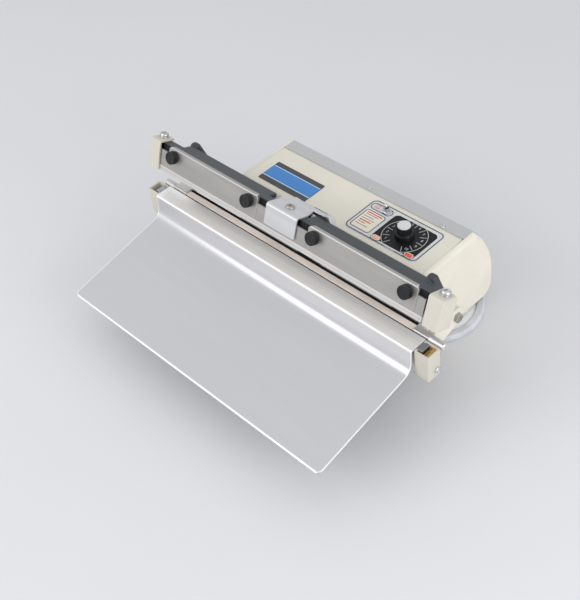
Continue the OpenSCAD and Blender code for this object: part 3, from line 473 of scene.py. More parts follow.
def finish(name):
    """The finish of that name, made at its first use."""
    if name not in FINISHES:
        FINISHES[name] = RECIPES[name](name + "_look", bpy.context.scene.sealer_colours)
    return FINISHES[name]


def shader_of(name, colour, metallic, roughness, **sockets):
    """New material with a principled shader whose even values stand on its own sockets."""
    mat = bpy.data.materials.new(name)
    mat.use_nodes = True
    shader = mat.node_tree.nodes["Principled BSDF"]
    shader.inputs["Base Color"].default_value = (*colour, 1.0)
    shader.inputs["Metallic"].default_value = metallic
    shader.inputs["Roughness"].default_value = roughness
    for socket, value in sockets.items():
        shader.inputs[socket.replace("_", " ")].default_value = value
    return mat, shader


def texture(mat, kind, per_metre=(1, 1, 1)):
    """New texture node on object coordinates, which are first scaled along x, y and z."""
    nodes, links = mat.node_tree.nodes, mat.node_tree.links
    where = nodes.new("ShaderNodeTexCoord")
    mapping = nodes.new("ShaderNodeMapping")
    mapping.inputs["Scale"].default_value = per_metre
    node = nodes.new(kind)
    links.new(where.outputs["Object"], mapping.inputs["Vector"])
    links.new(mapping.outputs["Vector"], node.inputs["Vector"])
    return node


def grain(mat, per_metre, detail=3.0, rough=0.55):
    """Noise on object coordinates; per_metre is the number of grains per metre along x, y and z."""
    noise = texture(mat, "ShaderNodeTexNoise", per_metre)
    noise.inputs["Scale"].default_value = 1.0
    noise.inputs["Detail"].default_value = detail
    noise.inputs["Roughness"].default_value = rough
    return noise.outputs["Fac"]


# Scale of a wave texture with one ridge per metre
ONE_RIDGE = 0.314


def waves(mat, per_metre, direction):
    """Even ridges on object coordinates across one direction; per_metre is the ridges per metre."""
    wave = texture(mat, "ShaderNodeTexWave")
    wave.bands_direction = direction
    wave.inputs["Scale"].default_value = per_metre * ONE_RIDGE
    wave.inputs["Distortion"].default_value = 0.0
    return wave.outputs["Fac"]


def ramp(mat, value, low, high, first, last):
    """Colour that goes from first to last while the value goes from low to high."""
    node = mat.node_tree.nodes.new("ShaderNodeValToRGB")
    node.color_ramp.elements[0].position = low
    node.color_ramp.elements[1].position = high
    node.color_ramp.elements[0].color = (*first, 1.0)
    node.color_ramp.elements[1].color = (*last, 1.0)
    mat.node_tree.links.new(value, node.inputs["Fac"])
    return node.outputs["Color"]


def spread(mat, value, low, high, to_low, to_high):
    """Number that goes from to_low to to_high while the value goes from low to high."""
    node = mat.node_tree.nodes.new("ShaderNodeMapRange")
    node.inputs["From Min"].default_value = low
    node.inputs["From Max"].default_value = high
    node.inputs["To Min"].default_value = to_low
    node.inputs["To Max"].default_value = to_high
    mat.node_tree.links.new(value, node.inputs["Value"])
    return node.outputs["Result"]


def emboss(mat, shader, value, depth, strength=1.0):
    """Fine relief of the given depth in metres."""
    node = mat.node_tree.nodes.new("ShaderNodeBump")
    node.inputs["Strength"].default_value = strength
    node.inputs["Distance"].default_value = depth
    mat.node_tree.links.new(value, node.inputs["Height"])
    mat.node_tree.links.new(node.outputs["Normal"], shader.inputs["Normal"])


def shade(colour, factor):
    """A colour made lighter or darker."""
    return tuple(min(1.0, c * factor) for c in colour)


def coloured(mat, shader, value, colour, dark, light, low=0.3, high=0.7):
    """Lets the base colour drift between a darker and a lighter tone of itself."""
    tone = ramp(mat, value, low, high, shade(colour, dark), shade(colour, light))
    mat.node_tree.links.new(tone, shader.inputs["Base Color"])


def roughened(mat, shader, value, first, last, low=0.3, high=0.7):
    """Lets the roughness drift between two values."""
    mat.node_tree.links.new(spread(mat, value, low, high, first, last), shader.inputs["Roughness"])


def painted(name, colour, gloss=0.42):
    """Stoved paint: orange-peel relief about 1.5 mm across, a slow drift of tone and of gloss."""
    mat, shader = shader_of(name, colour, 0.0, gloss, Coat_Weight=0.12, Coat_Roughness=0.25)
    slow = grain(mat, (11, 17, 14), 5, 0.6)
    coloured(mat, shader, slow, colour, 0.95, 1.03)
    roughened(mat, shader, slow, gloss - 0.06, gloss + 0.08)
    emboss(mat, shader, grain(mat, (700, 700, 700), 2, 0.4), 0.000012, 0.5)
    return mat


def moulded(name, colour, gloss=0.36, spark=0.000008, level=0.5):
    """Moulded plastic: a fine even skin texture and faint cloudy patches."""
    mat, shader = shader_of(name, colour, 0.0, gloss, Specular_IOR_Level=level)
    cloudy = grain(mat, (28, 28, 28), 4, 0.55)
    coloured(mat, shader, cloudy, colour, 0.94, 1.04)
    roughened(mat, shader, cloudy, gloss - 0.05, gloss + 0.09)
    emboss(mat, shader, grain(mat, (1500, 1500, 1500), 2, 0.5), spark, 0.5)
    return mat


def drawn(name, colour, gloss=0.34, along=(14, 1400, 1400), metallic=1.0, streak=1.0):
    """Rolled or extruded metal: fine lines along x, with streaks in tone and gloss."""
    mat, shader = shader_of(name, colour, metallic, gloss, Anisotropic=0.35)
    lines = grain(mat, along, 4, 0.65)
    streaks = grain(mat, (5, 90, 90), 4, 0.55)
    coloured(mat, shader, streaks, colour, 1 - 0.10 * streak, 1 + 0.05 * streak, 0.25, 0.75)
    roughened(mat, shader, lines, gloss - 0.07 * streak, gloss + 0.10 * streak)
    emboss(mat, shader, lines, 0.000010, 0.35 * streak)
    return mat


# Heights between which the table's tone changes to the flange's lighter, warmer colour (painted light), in
# metres
LIT_FLANGE_LOW = 0.0955
LIT_FLANGE_HIGH = 0.0976


def table_metal(name, colour, lit_flange_colour):
    """Satin sheet with lines along x. The flange beside the heated seal is painted lighter, to lift the shade
    that the open jaw casts on it, and a little warm as a painted reflection; a ramp on the height brings this
    in."""
    mat = drawn(name, colour, gloss=0.30, along=(9, 1100, 1100), metallic=0.5, streak=0.22)
    nodes, links = mat.node_tree.nodes, mat.node_tree.links
    shader = nodes["Principled BSDF"]
    where = nodes.new("ShaderNodeTexCoord")
    parts = nodes.new("ShaderNodeSeparateXYZ")
    links.new(where.outputs["Object"], parts.inputs["Vector"])
    level = spread(mat, parts.outputs["Z"], LIT_FLANGE_LOW, LIT_FLANGE_HIGH, 0.0, 1.0)
    blend = nodes.new("ShaderNodeMix")
    blend.data_type = "RGBA"
    links.new(level, blend.inputs["Factor"])
    links.new(shader.inputs["Base Color"].links[0].from_socket, blend.inputs["A"])
    tone = ramp(mat, grain(mat, (9, 300, 300), 3), 0.3, 0.7, shade(lit_flange_colour, 0.95), shade(lit_flange_colour, 1.04))
    links.new(tone, blend.inputs["B"])
    links.new(blend.outputs["Result"], shader.inputs["Base Color"])
    return mat


def turned_metal(name, colour, gloss=0.24):
    """Turned or plated metal: very fine tool marks and small dull spots."""
    mat, shader = shader_of(name, colour, 1.0, gloss)
    marks = grain(mat, (900, 900, 4200), 3, 0.6)
    spots = grain(mat, (260, 260, 260), 5, 0.65)
    coloured(mat, shader, spots, colour, 0.84, 1.06)
    roughened(mat, shader, spots, gloss - 0.06, gloss + 0.16)
    emboss(mat, shader, marks, 0.000008, 0.35)
    return mat


def rubbery(name, colour, gloss=0.62):
    """Rubber: dusty tone and a fine grain."""
    mat, shader = shader_of(name, colour, 0.0, gloss, Specular_IOR_Level=0.35)
    dust = grain(mat, (70, 70, 70), 6, 0.65)
    coloured(mat, shader, dust, colour, 0.86, 1.12)
    roughened(mat, shader, dust, gloss - 0.08, gloss + 0.14)
    emboss(mat, shader, grain(mat, (2200, 2200, 2200), 2, 0.5), 0.00002, 0.5)
    return mat


def woven(name, colour, gloss=0.5, level=0.5):
    """Glass cloth: two sets of threads 0.7 mm apart crossing at right angles, browned in patches."""
    mat, shader = shader_of(name, colour, 0.0, gloss, Specular_IOR_Level=level)
    nodes, links = mat.node_tree.nodes, mat.node_tree.links
    both = nodes.new("ShaderNodeMath")
    both.operation = "MAXIMUM"
    links.new(waves(mat, 1400, "X"), both.inputs[0])
    links.new(waves(mat, 1400, "Y"), both.inputs[1])
    coloured(mat, shader, grain(mat, (26, 120, 120), 5, 0.6), colour, 0.80, 1.10)
    emboss(mat, shader, both.outputs[0], 0.00003, 0.4)
    return mat


def printed(name, colour, gloss=0.42, level=0.5):
    """Screen print: flat ink with a faint pinhole grain."""
    mat, shader = shader_of(name, colour, 0.0, gloss, Specular_IOR_Level=level)
    pins = grain(mat, (2600, 2600, 2600), 2, 0.6)
    coloured(mat, shader, pins, colour, 0.95, 1.03)
    roughened(mat, shader, grain(mat, (60, 60, 60), 3, 0.5), gloss - 0.06, gloss + 0.08)
    return mat


def lens(name, colour, glow):
    """Moulded lamp lens: clear gloss over fine ribs along x."""
    mat, shader = shader_of(name, colour, 0.0, 0.16, Coat_Weight=0.6, Coat_Roughness=0.06,
                            Emission_Color=(*colour, 1.0), Emission_Strength=glow)
    ribs = waves(mat, 1500, "X")
    coloured(mat, shader, ribs, colour, 0.72, 1.15, 0.1, 0.9)
    emboss(mat, shader, ribs, 0.00004, 0.35)
    return mat


def laminated(name, colour):
    """Stack of core plates: thin dark joints every millimetre along y."""
    mat, shader = shader_of(name, colour, 0.8, 0.5)
    plates = waves(mat, 1000, "Y")
    coloured(mat, shader, plates, colour, 0.45, 1.1, 0.05, 0.35)
    emboss(mat, shader, plates, 0.0001, 0.5)
    return mat


RECIPES = {
    "cream_paint": lambda name, c: painted(name, c.cream),
    "cream_moulding": lambda name, c: moulded(name, shade(c.cream, 1.03), gloss=0.38),
    # Darker copy of the cream moulding for the caps and end blocks: painted shade, as their front faces are
    # lit less
    "jaw_moulding": lambda name, c: moulded(name, shade(c.cream, 0.80), gloss=0.38),
    "grey_paint": lambda name, c: painted(name, c.grey_cover, gloss=0.40),
    "table_sheet": lambda name, c: table_metal(name, c.table, c.flange),
    # Lighter finish on the table's hem and side edges: a painted highlight
    "sheet_edge": lambda name, c: drawn(
        name, (0.84, 0.84, 0.85), gloss=0.30, along=(60, 900, 900), metallic=0.3, streak=0.5),
    "bracket_sheet": lambda name, c: drawn(
        name, shade(c.table, 1.06), gloss=0.36, along=(40, 900, 900), metallic=0.5),
    "alloy": lambda name, c: drawn(name, c.alloy, gloss=0.36, along=(8, 1700, 1700), metallic=0.5),
    "plate": lambda name, c: drawn(name, c.plate, gloss=0.40, along=(10, 1300, 1300), metallic=0.45),
    # Lighter finish on the clamp plates' edges: a painted highlight
    "plate_edge": lambda name, c: drawn(
        name, (0.56, 0.55, 0.53), gloss=0.36, along=(20, 900, 900), metallic=0.4, streak=0.5),
    "bar_black": lambda name, c: drawn(
        name, c.bar, gloss=0.40, along=(8, 1500, 1500), metallic=0.25, streak=1.4),
    # Front face of the press bar: a far darker copy of its black, as painted shade where that face is lit
    # less than the top
    "bar_front": lambda name, c: moulded(name, shade(c.bar, 0.16), gloss=0.34, level=0.16),
    "black_moulding": lambda name, c: moulded(name, c.black, gloss=0.22, spark=0.000010, level=0.32),
    "steel": lambda name, c: drawn(name, (0.45, 0.46, 0.47), gloss=0.42, along=(30, 800, 800)),
    "bright_steel": lambda name, c: turned_metal(name, (0.70, 0.70, 0.71)),
    "screw_steel": lambda name, c: turned_metal(name, (0.60, 0.60, 0.59), gloss=0.33),
    "dull_steel": lambda name, c: turned_metal(name, (0.46, 0.44, 0.40), gloss=0.42),
    "pale_steel": lambda name, c: drawn(
        name, (0.62, 0.61, 0.59), gloss=0.34, along=(60, 900, 900), metallic=0.6),
    "brass": lambda name, c: turned_metal(name, (0.68, 0.43, 0.13), gloss=0.26),
    "foot_dish": lambda name, c: moulded(name, c.foot, gloss=0.30),
    "foot_rim": lambda name, c: rubbery(name, c.rim, gloss=0.55),
    "black_rubber": lambda name, c: rubbery(name, (0.018, 0.018, 0.019)),
    "release_sheet": lambda name, c: woven(name, c.release),
    # Strip behind the release sheet: near black with little sheen, partly its own dark colour and partly
    # painted shade for the gap there
    "insulation": lambda name, c: woven(name, (0.008, 0.007, 0.006), gloss=0.7, level=0.15),
    "film": lambda name, c: printed(name, (0.63, 0.63, 0.635), gloss=0.36),
    "label_cream": lambda name, c: printed(name, (0.78, 0.72, 0.60)),
    "ink_black": lambda name, c: printed(name, (0.009, 0.010, 0.011), gloss=0.34, level=0.2),
    "ink_dark": lambda name, c: printed(name, (0.045, 0.050, 0.060)),
    "ink_pale": lambda name, c: printed(name, (0.55, 0.56, 0.54)),
    "ink_red": lambda name, c: printed(name, c.red),
    "stripe_dark": lambda name, c: printed(name, (0.055, 0.050, 0.052)),
    "stripe_blue": lambda name, c: printed(name, c.blue),
    "stripe_pale": lambda name, c: printed(name, (0.38, 0.62, 0.80)),
    "red_lens": lambda name, c: lens(name, c.red, glow=0.12),
    "pale_lens": lambda name, c: lens(name, (0.78, 0.40, 0.31), glow=0.10),
    "core": lambda name, c: laminated(name, (0.12, 0.12, 0.13)),
    "winding": lambda name, c: woven(name, (0.52, 0.40, 0.14)),
    "copper": lambda name, c: turned_metal(name, (0.50, 0.17, 0.06), gloss=0.34),
    "board": lambda name, c: printed(name, (0.012, 0.10, 0.035), gloss=0.30),
}


# The stage, in metres

FLOOR_HALF = 6.0
FLOOR_DROP = 0.0002
FLOOR_COLOUR = (0.66, 0.66, 0.67)

# Camera at the viewing angle of the photo: its axes and its place
CAMERA_RIGHT = (0.70506, 0.70136, -0.10482)
CAMERA_UP = (-0.44461, 0.55234, 0.70516)
CAMERA_BACK = (0.55247, -0.45058, 0.70126)
CAMERA_PLACE = (0.5613, -0.4716, 0.7539)


def facing(right, up, back, place):
    """Transform at a place whose x, y and z axes are right, up and back."""
    turn = Matrix((right, up, back)).transposed().to_4x4()
    turn.translation = place
    return turn


class SEALER_OT_stage(bpy.types.Operator):
    """Makes the pale floor, the studio light and the camera"""

    bl_idname = "sealer.stage"
    bl_label = "Stage"

    def execute(self, context):
        studio = context.scene.sealer_studio
        floor = bpy.data.meshes.new("floor")
        ends = (-FLOOR_HALF, FLOOR_HALF)
        floor.from_pydata([(x, y, -FLOOR_DROP) for x in ends for y in ends], [], [(0, 2, 3, 1)])
        mat, shader = shader_of("floor_look", FLOOR_COLOUR, metallic=0.0, roughness=0.75)
        coloured(mat, shader, grain(mat, (3, 3, 3), detail=4), FLOOR_COLOUR, dark=0.985, light=1.01)
        floor.materials.append(mat)
        ground = new_object("floor", floor)
        self.lamp("key", (-0.55, -1.25, 0.80), aim=(0.0, -0.02, 0.06), size=1.1, power=studio.key)
        self.lamp("side", (1.22, -0.12, 0.48), aim=(0.05, 0.05, 0.06), size=0.8, power=studio.side)
        world = bpy.data.worlds.new("studio_room")
        world.use_nodes = True
        room = world.node_tree.nodes["Background"]
        room.inputs["Color"].default_value = (0.95, 0.97, 1.0, 1.0)
        room.inputs["Strength"].default_value = studio.sky
        context.scene.world = world
        eye = bpy.data.cameras.new("camera")
        eye.lens = studio.lens
        eye.sensor_width = 36.0
        eye.clip_start = 0.05
        camera = new_object("camera", eye)
        camera.matrix_world = facing(CAMERA_RIGHT, CAMERA_UP, CAMERA_BACK, CAMERA_PLACE)
        context.scene.camera = camera
        context.scene.view_settings.view_transform = "Standard"
        return {"FINISHED"}

    def lamp(self, name, place, aim, size, power):
        """A square soft light at a place, turned to the aim."""
        light = bpy.data.lights.new(name, "AREA")
        light.size = size
        light.energy = power
        back = unit(np.array(place) - np.array(aim))
        right = unit(np.cross((0, 0, 1), back))
        new_object(name, light).matrix_world = facing(right, np.cross(back, right), back, place)


# Pieces of the frame that keep their shape

class SEALER_OT_kept_nodes(bpy.types.Operator):
    """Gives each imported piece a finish, those inside the body too"""

    bl_idname = "sealer.kept_nodes"
    bl_label = "Kept pieces"

    def execute(self, context):
        looks = {
            "steel": "base_tray chassis_plate solenoid_frame return_spring board_posts foot_bolts "
                     "table_brackets timer_pot timer_spindle closing_plunger pull_pin heating_ribbon "
                     "terminal_clamps block_lugs",
            "cream_paint": "top_panel hinge_arms",
            "cream_moulding": "end_cover_left end_cover_right lower_block_left lower_block_right "
                              "upper_cap_left upper_cap_right",
            "grey_paint": "rear_cover",
            "bright_steel": "cover_screws switch_body bush_nuts block_screws hinge_bolts bracket_screw "
                            "cap_screws toggle_lever",
            "film": "control_plate",
            "stripe_dark": "stripe_plate",
            "red_lens": "pilot_lamps",
            "core": "transformer_core",
            "winding": "transformer_coil",
            "copper": "solenoid_coil",
            "board": "circuit_board",
            "black_moulding": "cord_gland timer_knob knob_cap "
                              "thumbscrew_1 thumbscrew_2 thumbscrew_3 thumbscrew_4",
            "foot_dish": "foot_dishes",
            "foot_rim": "foot_rims",
            "alloy": "lower_beam heater_seat jaw_profile",
            "brass": "brass_sleeve",
            "pale_steel": "terminal_studs",
            "insulation": "insulation_strip",
            "release_sheet": "release_sheet",
            "table_sheet": "work_table",
            "bracket_sheet": "centre_bracket",
            "bar_black": "press_bar jaw_arms",
            "black_rubber": "rubber_strip",
            "plate": "clamp_plate_left clamp_plate_right",
        }
        for look, names in looks.items():
            for name in names.split():
                mesh = frame["nodes"][name].data
                mesh.materials.clear()
                mesh.materials.append(finish(look))
        return {"FINISHED"}


# Body, drawn from the front of the end blocks and the desk

BODY_FRONT = corners_mm("top_panel")[0][1] - JAW[1]
BODY_LOW = corners_mm("base_tray")[0][2]
BAND_Y = corners_mm("rear_cover")[0][1] - JAW[1]
SHEET = 1.5
SEAM_GAP = 0.12
COVER_PROUD = 0.8
COVER_FLAT_END = 143.0
COVER_CORNER = 5.0
BACK_HUB = (75.0, 34.0)
BACK_R = 97.0
HEEL_R = 14.0
HEEL_Z = BODY_LOW + HEEL_R
HEEL_HUB = (BACK_HUB[0] + math.sqrt((BACK_R - HEEL_R) ** 2 - (BACK_HUB[1] - HEEL_Z) ** 2), HEEL_Z)
HEEL_DEG = math.degrees(math.atan2(HEEL_HUB[1] - BACK_HUB[1], HEEL_HUB[0] - BACK_HUB[0]))


def back_line(proud, low, top):
    """Round back from the top down: the edge to the flat top, an arc about the back's hub to the point
    where it meets the heel, and the heel's arc down to the given height."""
    r, heel = BACK_R + proud, HEEL_R + proud
    first = math.degrees(math.asin((top - BACK_HUB[1]) / r))
    last = math.degrees(math.asin(max(-1.0, (low - HEEL_HUB[1]) / heel)))
    back = arc(BACK_HUB, r, first, HEEL_DEG, 48)
    return np.concatenate([back, arc(HEEL_HUB, heel, HEEL_DEG, last, 16)[1:]])


def softened(line):
    """An open path whose inner points move to the mean of themselves and their neighbours."""
    inner = (line[:-2] + 2 * line[1:-1] + line[2:]) / 4
    return np.concatenate([line[:1], inner, line[-1:]])


class SEALER_OT_body_shell(bpy.types.Operator):
    """Makes the panel, the rear cover and the moulded end covers"""

    bl_idname = "sealer.body_shell"
    bl_label = "Body shell"

    def execute(self, context):
        sizes = context.scene.sealer_sizes
        bend, fillet = sizes.sheet_bend / MM, sizes.cover_fillet / MM
        span = (-SEAM_X + SEAM_GAP, SEAM_X - SEAM_GAP)
        lip = max(corners_mm("top_panel")[0][2], PANEL_TOP - 10.0)
        corners = [(BODY_FRONT, lip), (BODY_FRONT, PANEL_TOP), (BAND_Y + 0.9, PANEL_TOP)]
        panel = prism(strip(rounded(corners, [bend], 10, closed=False), -SHEET), *span, edge=0.25)
        make("panel_sheet", [at_body(along_x(panel))], "cream_paint", ROOT, ["top_panel"])

        top = PANEL_TOP + COVER_PROUD
        flat = np.stack([np.linspace(BAND_Y + 0.05, COVER_FLAT_END, 6), np.full(6, top)], 1)
        path = np.concatenate([flat, softened(back_line(COVER_PROUD, BODY_LOW + 2.2, top))])
        cover = prism(strip(path, -SHEET), *span, edge=0.3)
        make("rear_sheet", [at_body(along_x(cover))], "grey_paint", ROOT, ["rear_cover"])

        # Over a quarter turn a the end cover goes out by depth sin a and draws in by fillet (1 - cos a)
        corners = [(BODY_FRONT + 20, BODY_LOW), (BODY_FRONT, BODY_LOW), (BODY_FRONT, PANEL_TOP),
                   (BODY_FRONT + 40, PANEL_TOP)]
        front = rounded(corners, COVER_CORNER, 8, closed=False)
        outline = np.concatenate([front, back_line(0.0, BODY_LOW, PANEL_TOP)])
        depth = corners_mm("end_cover_right")[1][0] - SEAM_X
        a = np.linspace(0, np.pi / 2, 10)
        inset = np.concatenate([[1.2, 0, 0], fillet * (1 - np.cos(a))[1:], [fillet + 0.3]])
        out = np.concatenate([[0.1, 0.1, 0.3], depth * np.sin(a)[1:], [depth]])
        moulding = at_body(along_x(lofted(outline, inset, SEAM_X + out)))
        for side, turn in SIDES:
            make("end_moulding_" + side, [turn(moulding)], "cream_moulding", ROOT,
                 ["end_cover_" + side])
        return {"FINISHED"}


# Controls

# Dial of the timer: angles of its first and last mark in degrees, and radii
DIAL_START = 240
DIAL_STOP = -60
DIAL_NUMBERS = 10
TICK_IN = 14.2
TICK_OUT = 20.8
NUMBER_R = 17.6

# Legend field: where its lines start, and where each one ends, with its height on the plate
LEGEND_LEFT = 21.6
LEGEND_LINES = ((36.2, 104.9), (33.4, 101.6), (36.8, 98.3), (31.0, 92.4), (36.0, 89.2))
LEGEND_BARS = ((39.0, 107.4), (35.0, 95.2))


def printed_bar(start, stop, width, low, high):
    """Flat printed line from start to stop: four corners half a width to each side."""
    start, stop = np.asarray(start, float), np.asarray(stop, float)
    way = unit(stop - start)
    side = np.array([-way[1], way[0]]) * width / 2
    return slab(np.stack([start - side, stop - side, stop + side, start + side]), low, high)


def make_words(name, words, spots, size, low, height, look):
    """Small printed words as one mesh: each is a text outline turned into a mesh, then moved to its spot."""
    points, faces, base = [], [], 0
    for word, spot in zip(words, spots):
        curve = bpy.data.curves.new(name, "FONT")
        curve.body = word
        curve.size = size
        curve.align_x = "CENTER"
        curve.align_y = "CENTER"
        curve.extrude = height * MM / 2
        text = new_object(name, curve)
        flat = bpy.data.meshes.new_from_object(text.evaluated_get(bpy.context.evaluated_depsgraph_get()))
        co = np.zeros(len(flat.vertices) * 3)
        flat.vertices.foreach_get("co", co)
        shift = at_body(np.array([spot[0], spot[1], low + height / 2]))
        points.append(co.reshape(-1, 3) + shift * MM)
        faces += [[base + i for i in polygon.vertices] for polygon in flat.polygons]
        base += len(flat.vertices)
        bpy.data.objects.remove(text)
        bpy.data.curves.remove(curve)
        bpy.data.meshes.remove(flat)
    mesh = bpy.data.meshes.new(name)
    mesh.from_pydata(np.concatenate(points).tolist(), [], faces)
    settle(mesh)
    dress(new_object(name, mesh), look, ROOT)


class SEALER_OT_control_print(bpy.types.Operator):
    """Prints the control plate: outlines, dial, numbers and legends"""

    bl_idname = "sealer.control_print"
    bl_label = "Control print"

    def execute(self, context):
        sizes = context.scene.sealer_sizes
        low, high = (corner[:2] - JAW[:2] for corner in corners_mm("control_plate"))
        lift = sizes.print_height / MM
        plate, ink, over = LABEL_TOP - SINK, LABEL_TOP + lift, LABEL_TOP + 2 * lift

        rim = round_rect(low + 0.3, high - 0.3, 5.8, 8)
        pill = round_rect((17.6, 112.8), (43.2, 122.2), 4.5, 10)
        inset = round_rect((18.6, 83.0), (42.6, 110.6), 3.4, 8)
        frames = [band(line, width, plate, ink) for line, width in ((rim, 1.1), (pill, 0.9), (inset, 0.9))]
        self.ink("frame_lines", frames, "ink_dark")
        label = round_rect((19.4, 83.8), (41.8, 109.8), 2.7, 8)
        self.ink("legend_field", [slab(label, plate, ink - SINK)], "label_cream")
        field = round_rect((46.2, 82.2), (97.6, 121.2), 5.0, 8)
        self.ink("dial_field", [slab(field, plate, ink)], "ink_black")

        dial = TIMER[:2] - JAW[:2]
        circle = band(ring(dial, sizes.dial_radius / MM, 128), 0.55, ink - SINK, over)
        turn = np.radians(np.linspace(DIAL_START, DIAL_STOP, DIAL_NUMBERS + 1))
        ticks = [printed_bar(dial + way * TICK_IN, dial + way * TICK_OUT, 0.5, ink - SINK, over)
                 for way in spokes(turn)]
        self.ink("dial_marks", [circle, *ticks], "ink_pale")
        spots = dial + NUMBER_R * spokes((turn[:-1] + turn[1:]) / 2)
        words = [str(i + 1) for i in range(DIAL_NUMBERS)]
        make_words("dial_numbers", words, spots, sizes.digit_height, ink - SINK, lift, "ink_pale")
        spots = [(24.4, 116.0), (24.4, 120.2)]
        size = sizes.digit_height * 0.86
        make_words("switch_words", ["OFF", "ON"], spots, size, plate, lift + SINK, "ink_red")

        for name, rows, width, look in (("legend_lines", LEGEND_LINES, 0.55, "ink_dark"),
                                        ("legend_bars", LEGEND_BARS, 1.3, "ink_red")):
            bars = [printed_bar((LEGEND_LEFT, y), (x, y), width, ink - 0.05, over) for x, y in rows]
            self.ink(name, bars, look)
        return {"FINISHED"}

    def ink(self, name, shells, look):
        """A print on the control plate."""
        make(name, [at_body(s) for s in shells], look, ROOT)


class SEALER_OT_stripe_print(bpy.types.Operator):
    """Prints plain stripes on the plate at the left"""

    bl_idname = "sealer.stripe_print"
    bl_label = "Stripe print"

    def execute(self, context):
        (x0, y0, _), (x1, y1, top) = corners_mm("stripe_plate")
        lift = context.scene.sealer_sizes.print_height / MM

        def stripe(first, last):
            # From one share of the plate's depth to another
            low, high = y0 + first * (y1 - y0), y0 + last * (y1 - y0)
            return slab(round_rect((x0 + 0.1, low), (x1 - 0.1, high), 0.3, 3), top - SINK, top + lift)

        make("stripe_middle", [stripe(0.245, 0.765)], "stripe_blue", ROOT)
        make("stripe_edges", [stripe(0.205, 0.245), stripe(0.765, 0.80)], "stripe_pale", ROOT)
        return {"FINISHED"}


class SEALER_OT_lamps(bpy.types.Operator):
    """Makes the two oval pilot lamps with their bezels"""

    bl_idname = "sealer.lamps"
    bl_label = "Pilot lamps"

    def execute(self, context):
        low, high = corners_mm("pilot_lamps")
        deep = (high[1] - low[1]) / 2
        half = np.array([deep * 1.58, deep])
        y = (low[1] + high[1]) / 2
        plate = LABEL_TOP - SINK

        # Over a quarter turn a the lens draws in by 1.9 (1 - cos a) and rises by 1.1 sin a
        a = np.linspace(0, np.pi / 2, 8)
        inset = np.concatenate([[0.0], 1.9 * (1 - np.cos(a))])
        rise = np.concatenate([[-SINK], 0.35 + 1.1 * np.sin(a)])
        for name, x, look in (("lamp_pale", low[0] + half[0], "pale_lens"),
                              ("lamp_red", high[0] - half[0], "red_lens")):
            hub = np.array([x, y])
            oval = round_rect(hub - half + 0.7, hub + half - 0.7, deep - 0.9, 12)
            make(name, [lofted(oval, inset, LABEL_TOP + rise)], look, ROOT, ["pilot_lamps"])
            oval = round_rect(hub - half, hub + half, deep - 0.2, 12)
            bezel = band(oval, 0.9, plate, LABEL_TOP + 0.5)
            make(name + "_bezel", [bezel], "label_cream", ROOT)
            oval = round_rect(hub - half - 0.7, hub + half + 0.7, deep + 0.5, 12)
            line = band(oval, 0.7, plate, LABEL_TOP + 0.1)
            make(name + "_line", [line], "ink_dark", ROOT)
        return {"FINISHED"}


class SEALER_OT_timer_knob(bpy.types.Operator):
    """Makes the ribbed timer knob, its pointer line and its pale cap"""

    bl_idname = "sealer.timer_knob"
    bl_label = "Timer knob"

    def execute(self, context):
        ribs = context.scene.sealer_sizes.knob_flutes
        low, high = corners_mm("timer_knob")
        base = np.array([TIMER[0], TIMER[1], low[2]])
        tall = high[2] - low[2]
        bore, foot, skirt, neck, crown = 5.2, (high[0] - low[0]) / 2, 8.7, 7.3, 6.8
        skirt_top, rib_low = 5.0, 6.0

        def ribbed(turn, r, z):
            # Grooves 0.30 deep that are widest between the ribs
            return -0.30 * faded(z, rib_low, tall - 1.2, 0.8) * (0.5 + 0.5 * np.cos(ribs * turn)) ** 2

        side = np.linspace(rib_low, tall - 1.4, 8)
        wall = np.stack([neck + (crown - neck) * (side - rib_low) / (tall - rib_low), side], 1)
        corners = [(bore, 0.0), (foot, 0.0), (skirt, skirt_top), (neck, skirt_top + 0.15), tuple(wall[0])]
        start = lathe(corners, [0.35, 0.75, 0.45])
        end = lathe([tuple(wall[-1]), (crown - 0.05, tall), (AXIS_R, tall)], [0.6])
        profile = np.concatenate([start, wall[1:], end[1:]])
        body = turned(profile, ribs * 8, ribbed) + base
        make("knob_body", [body], "black_moulding", "timer_dial", ["timer_knob"])

        low, high = corners_mm("knob_cap")
        cap_r, thick = 6.3, high[2] - low[2]
        disc = lathe([(AXIS_R, -0.05), (cap_r, -0.05), (cap_r, thick), (AXIS_R, thick + 0.12)], [0.1, 0.5])
        cap = turned(disc, 72) + [TIMER[0], TIMER[1], low[2]]
        make("knob_disc", [cap], "film", "timer_dial", ["knob_cap"])
        mark = prism(round_rect((-0.45, 7.5), (0.45, 8.5), 0.3, 3), 4.0, skirt_top + 0.06, edge=0.05)
        make("knob_pointer", [mark + base], "ink_pale", "timer_dial")
        return {"FINISHED"}


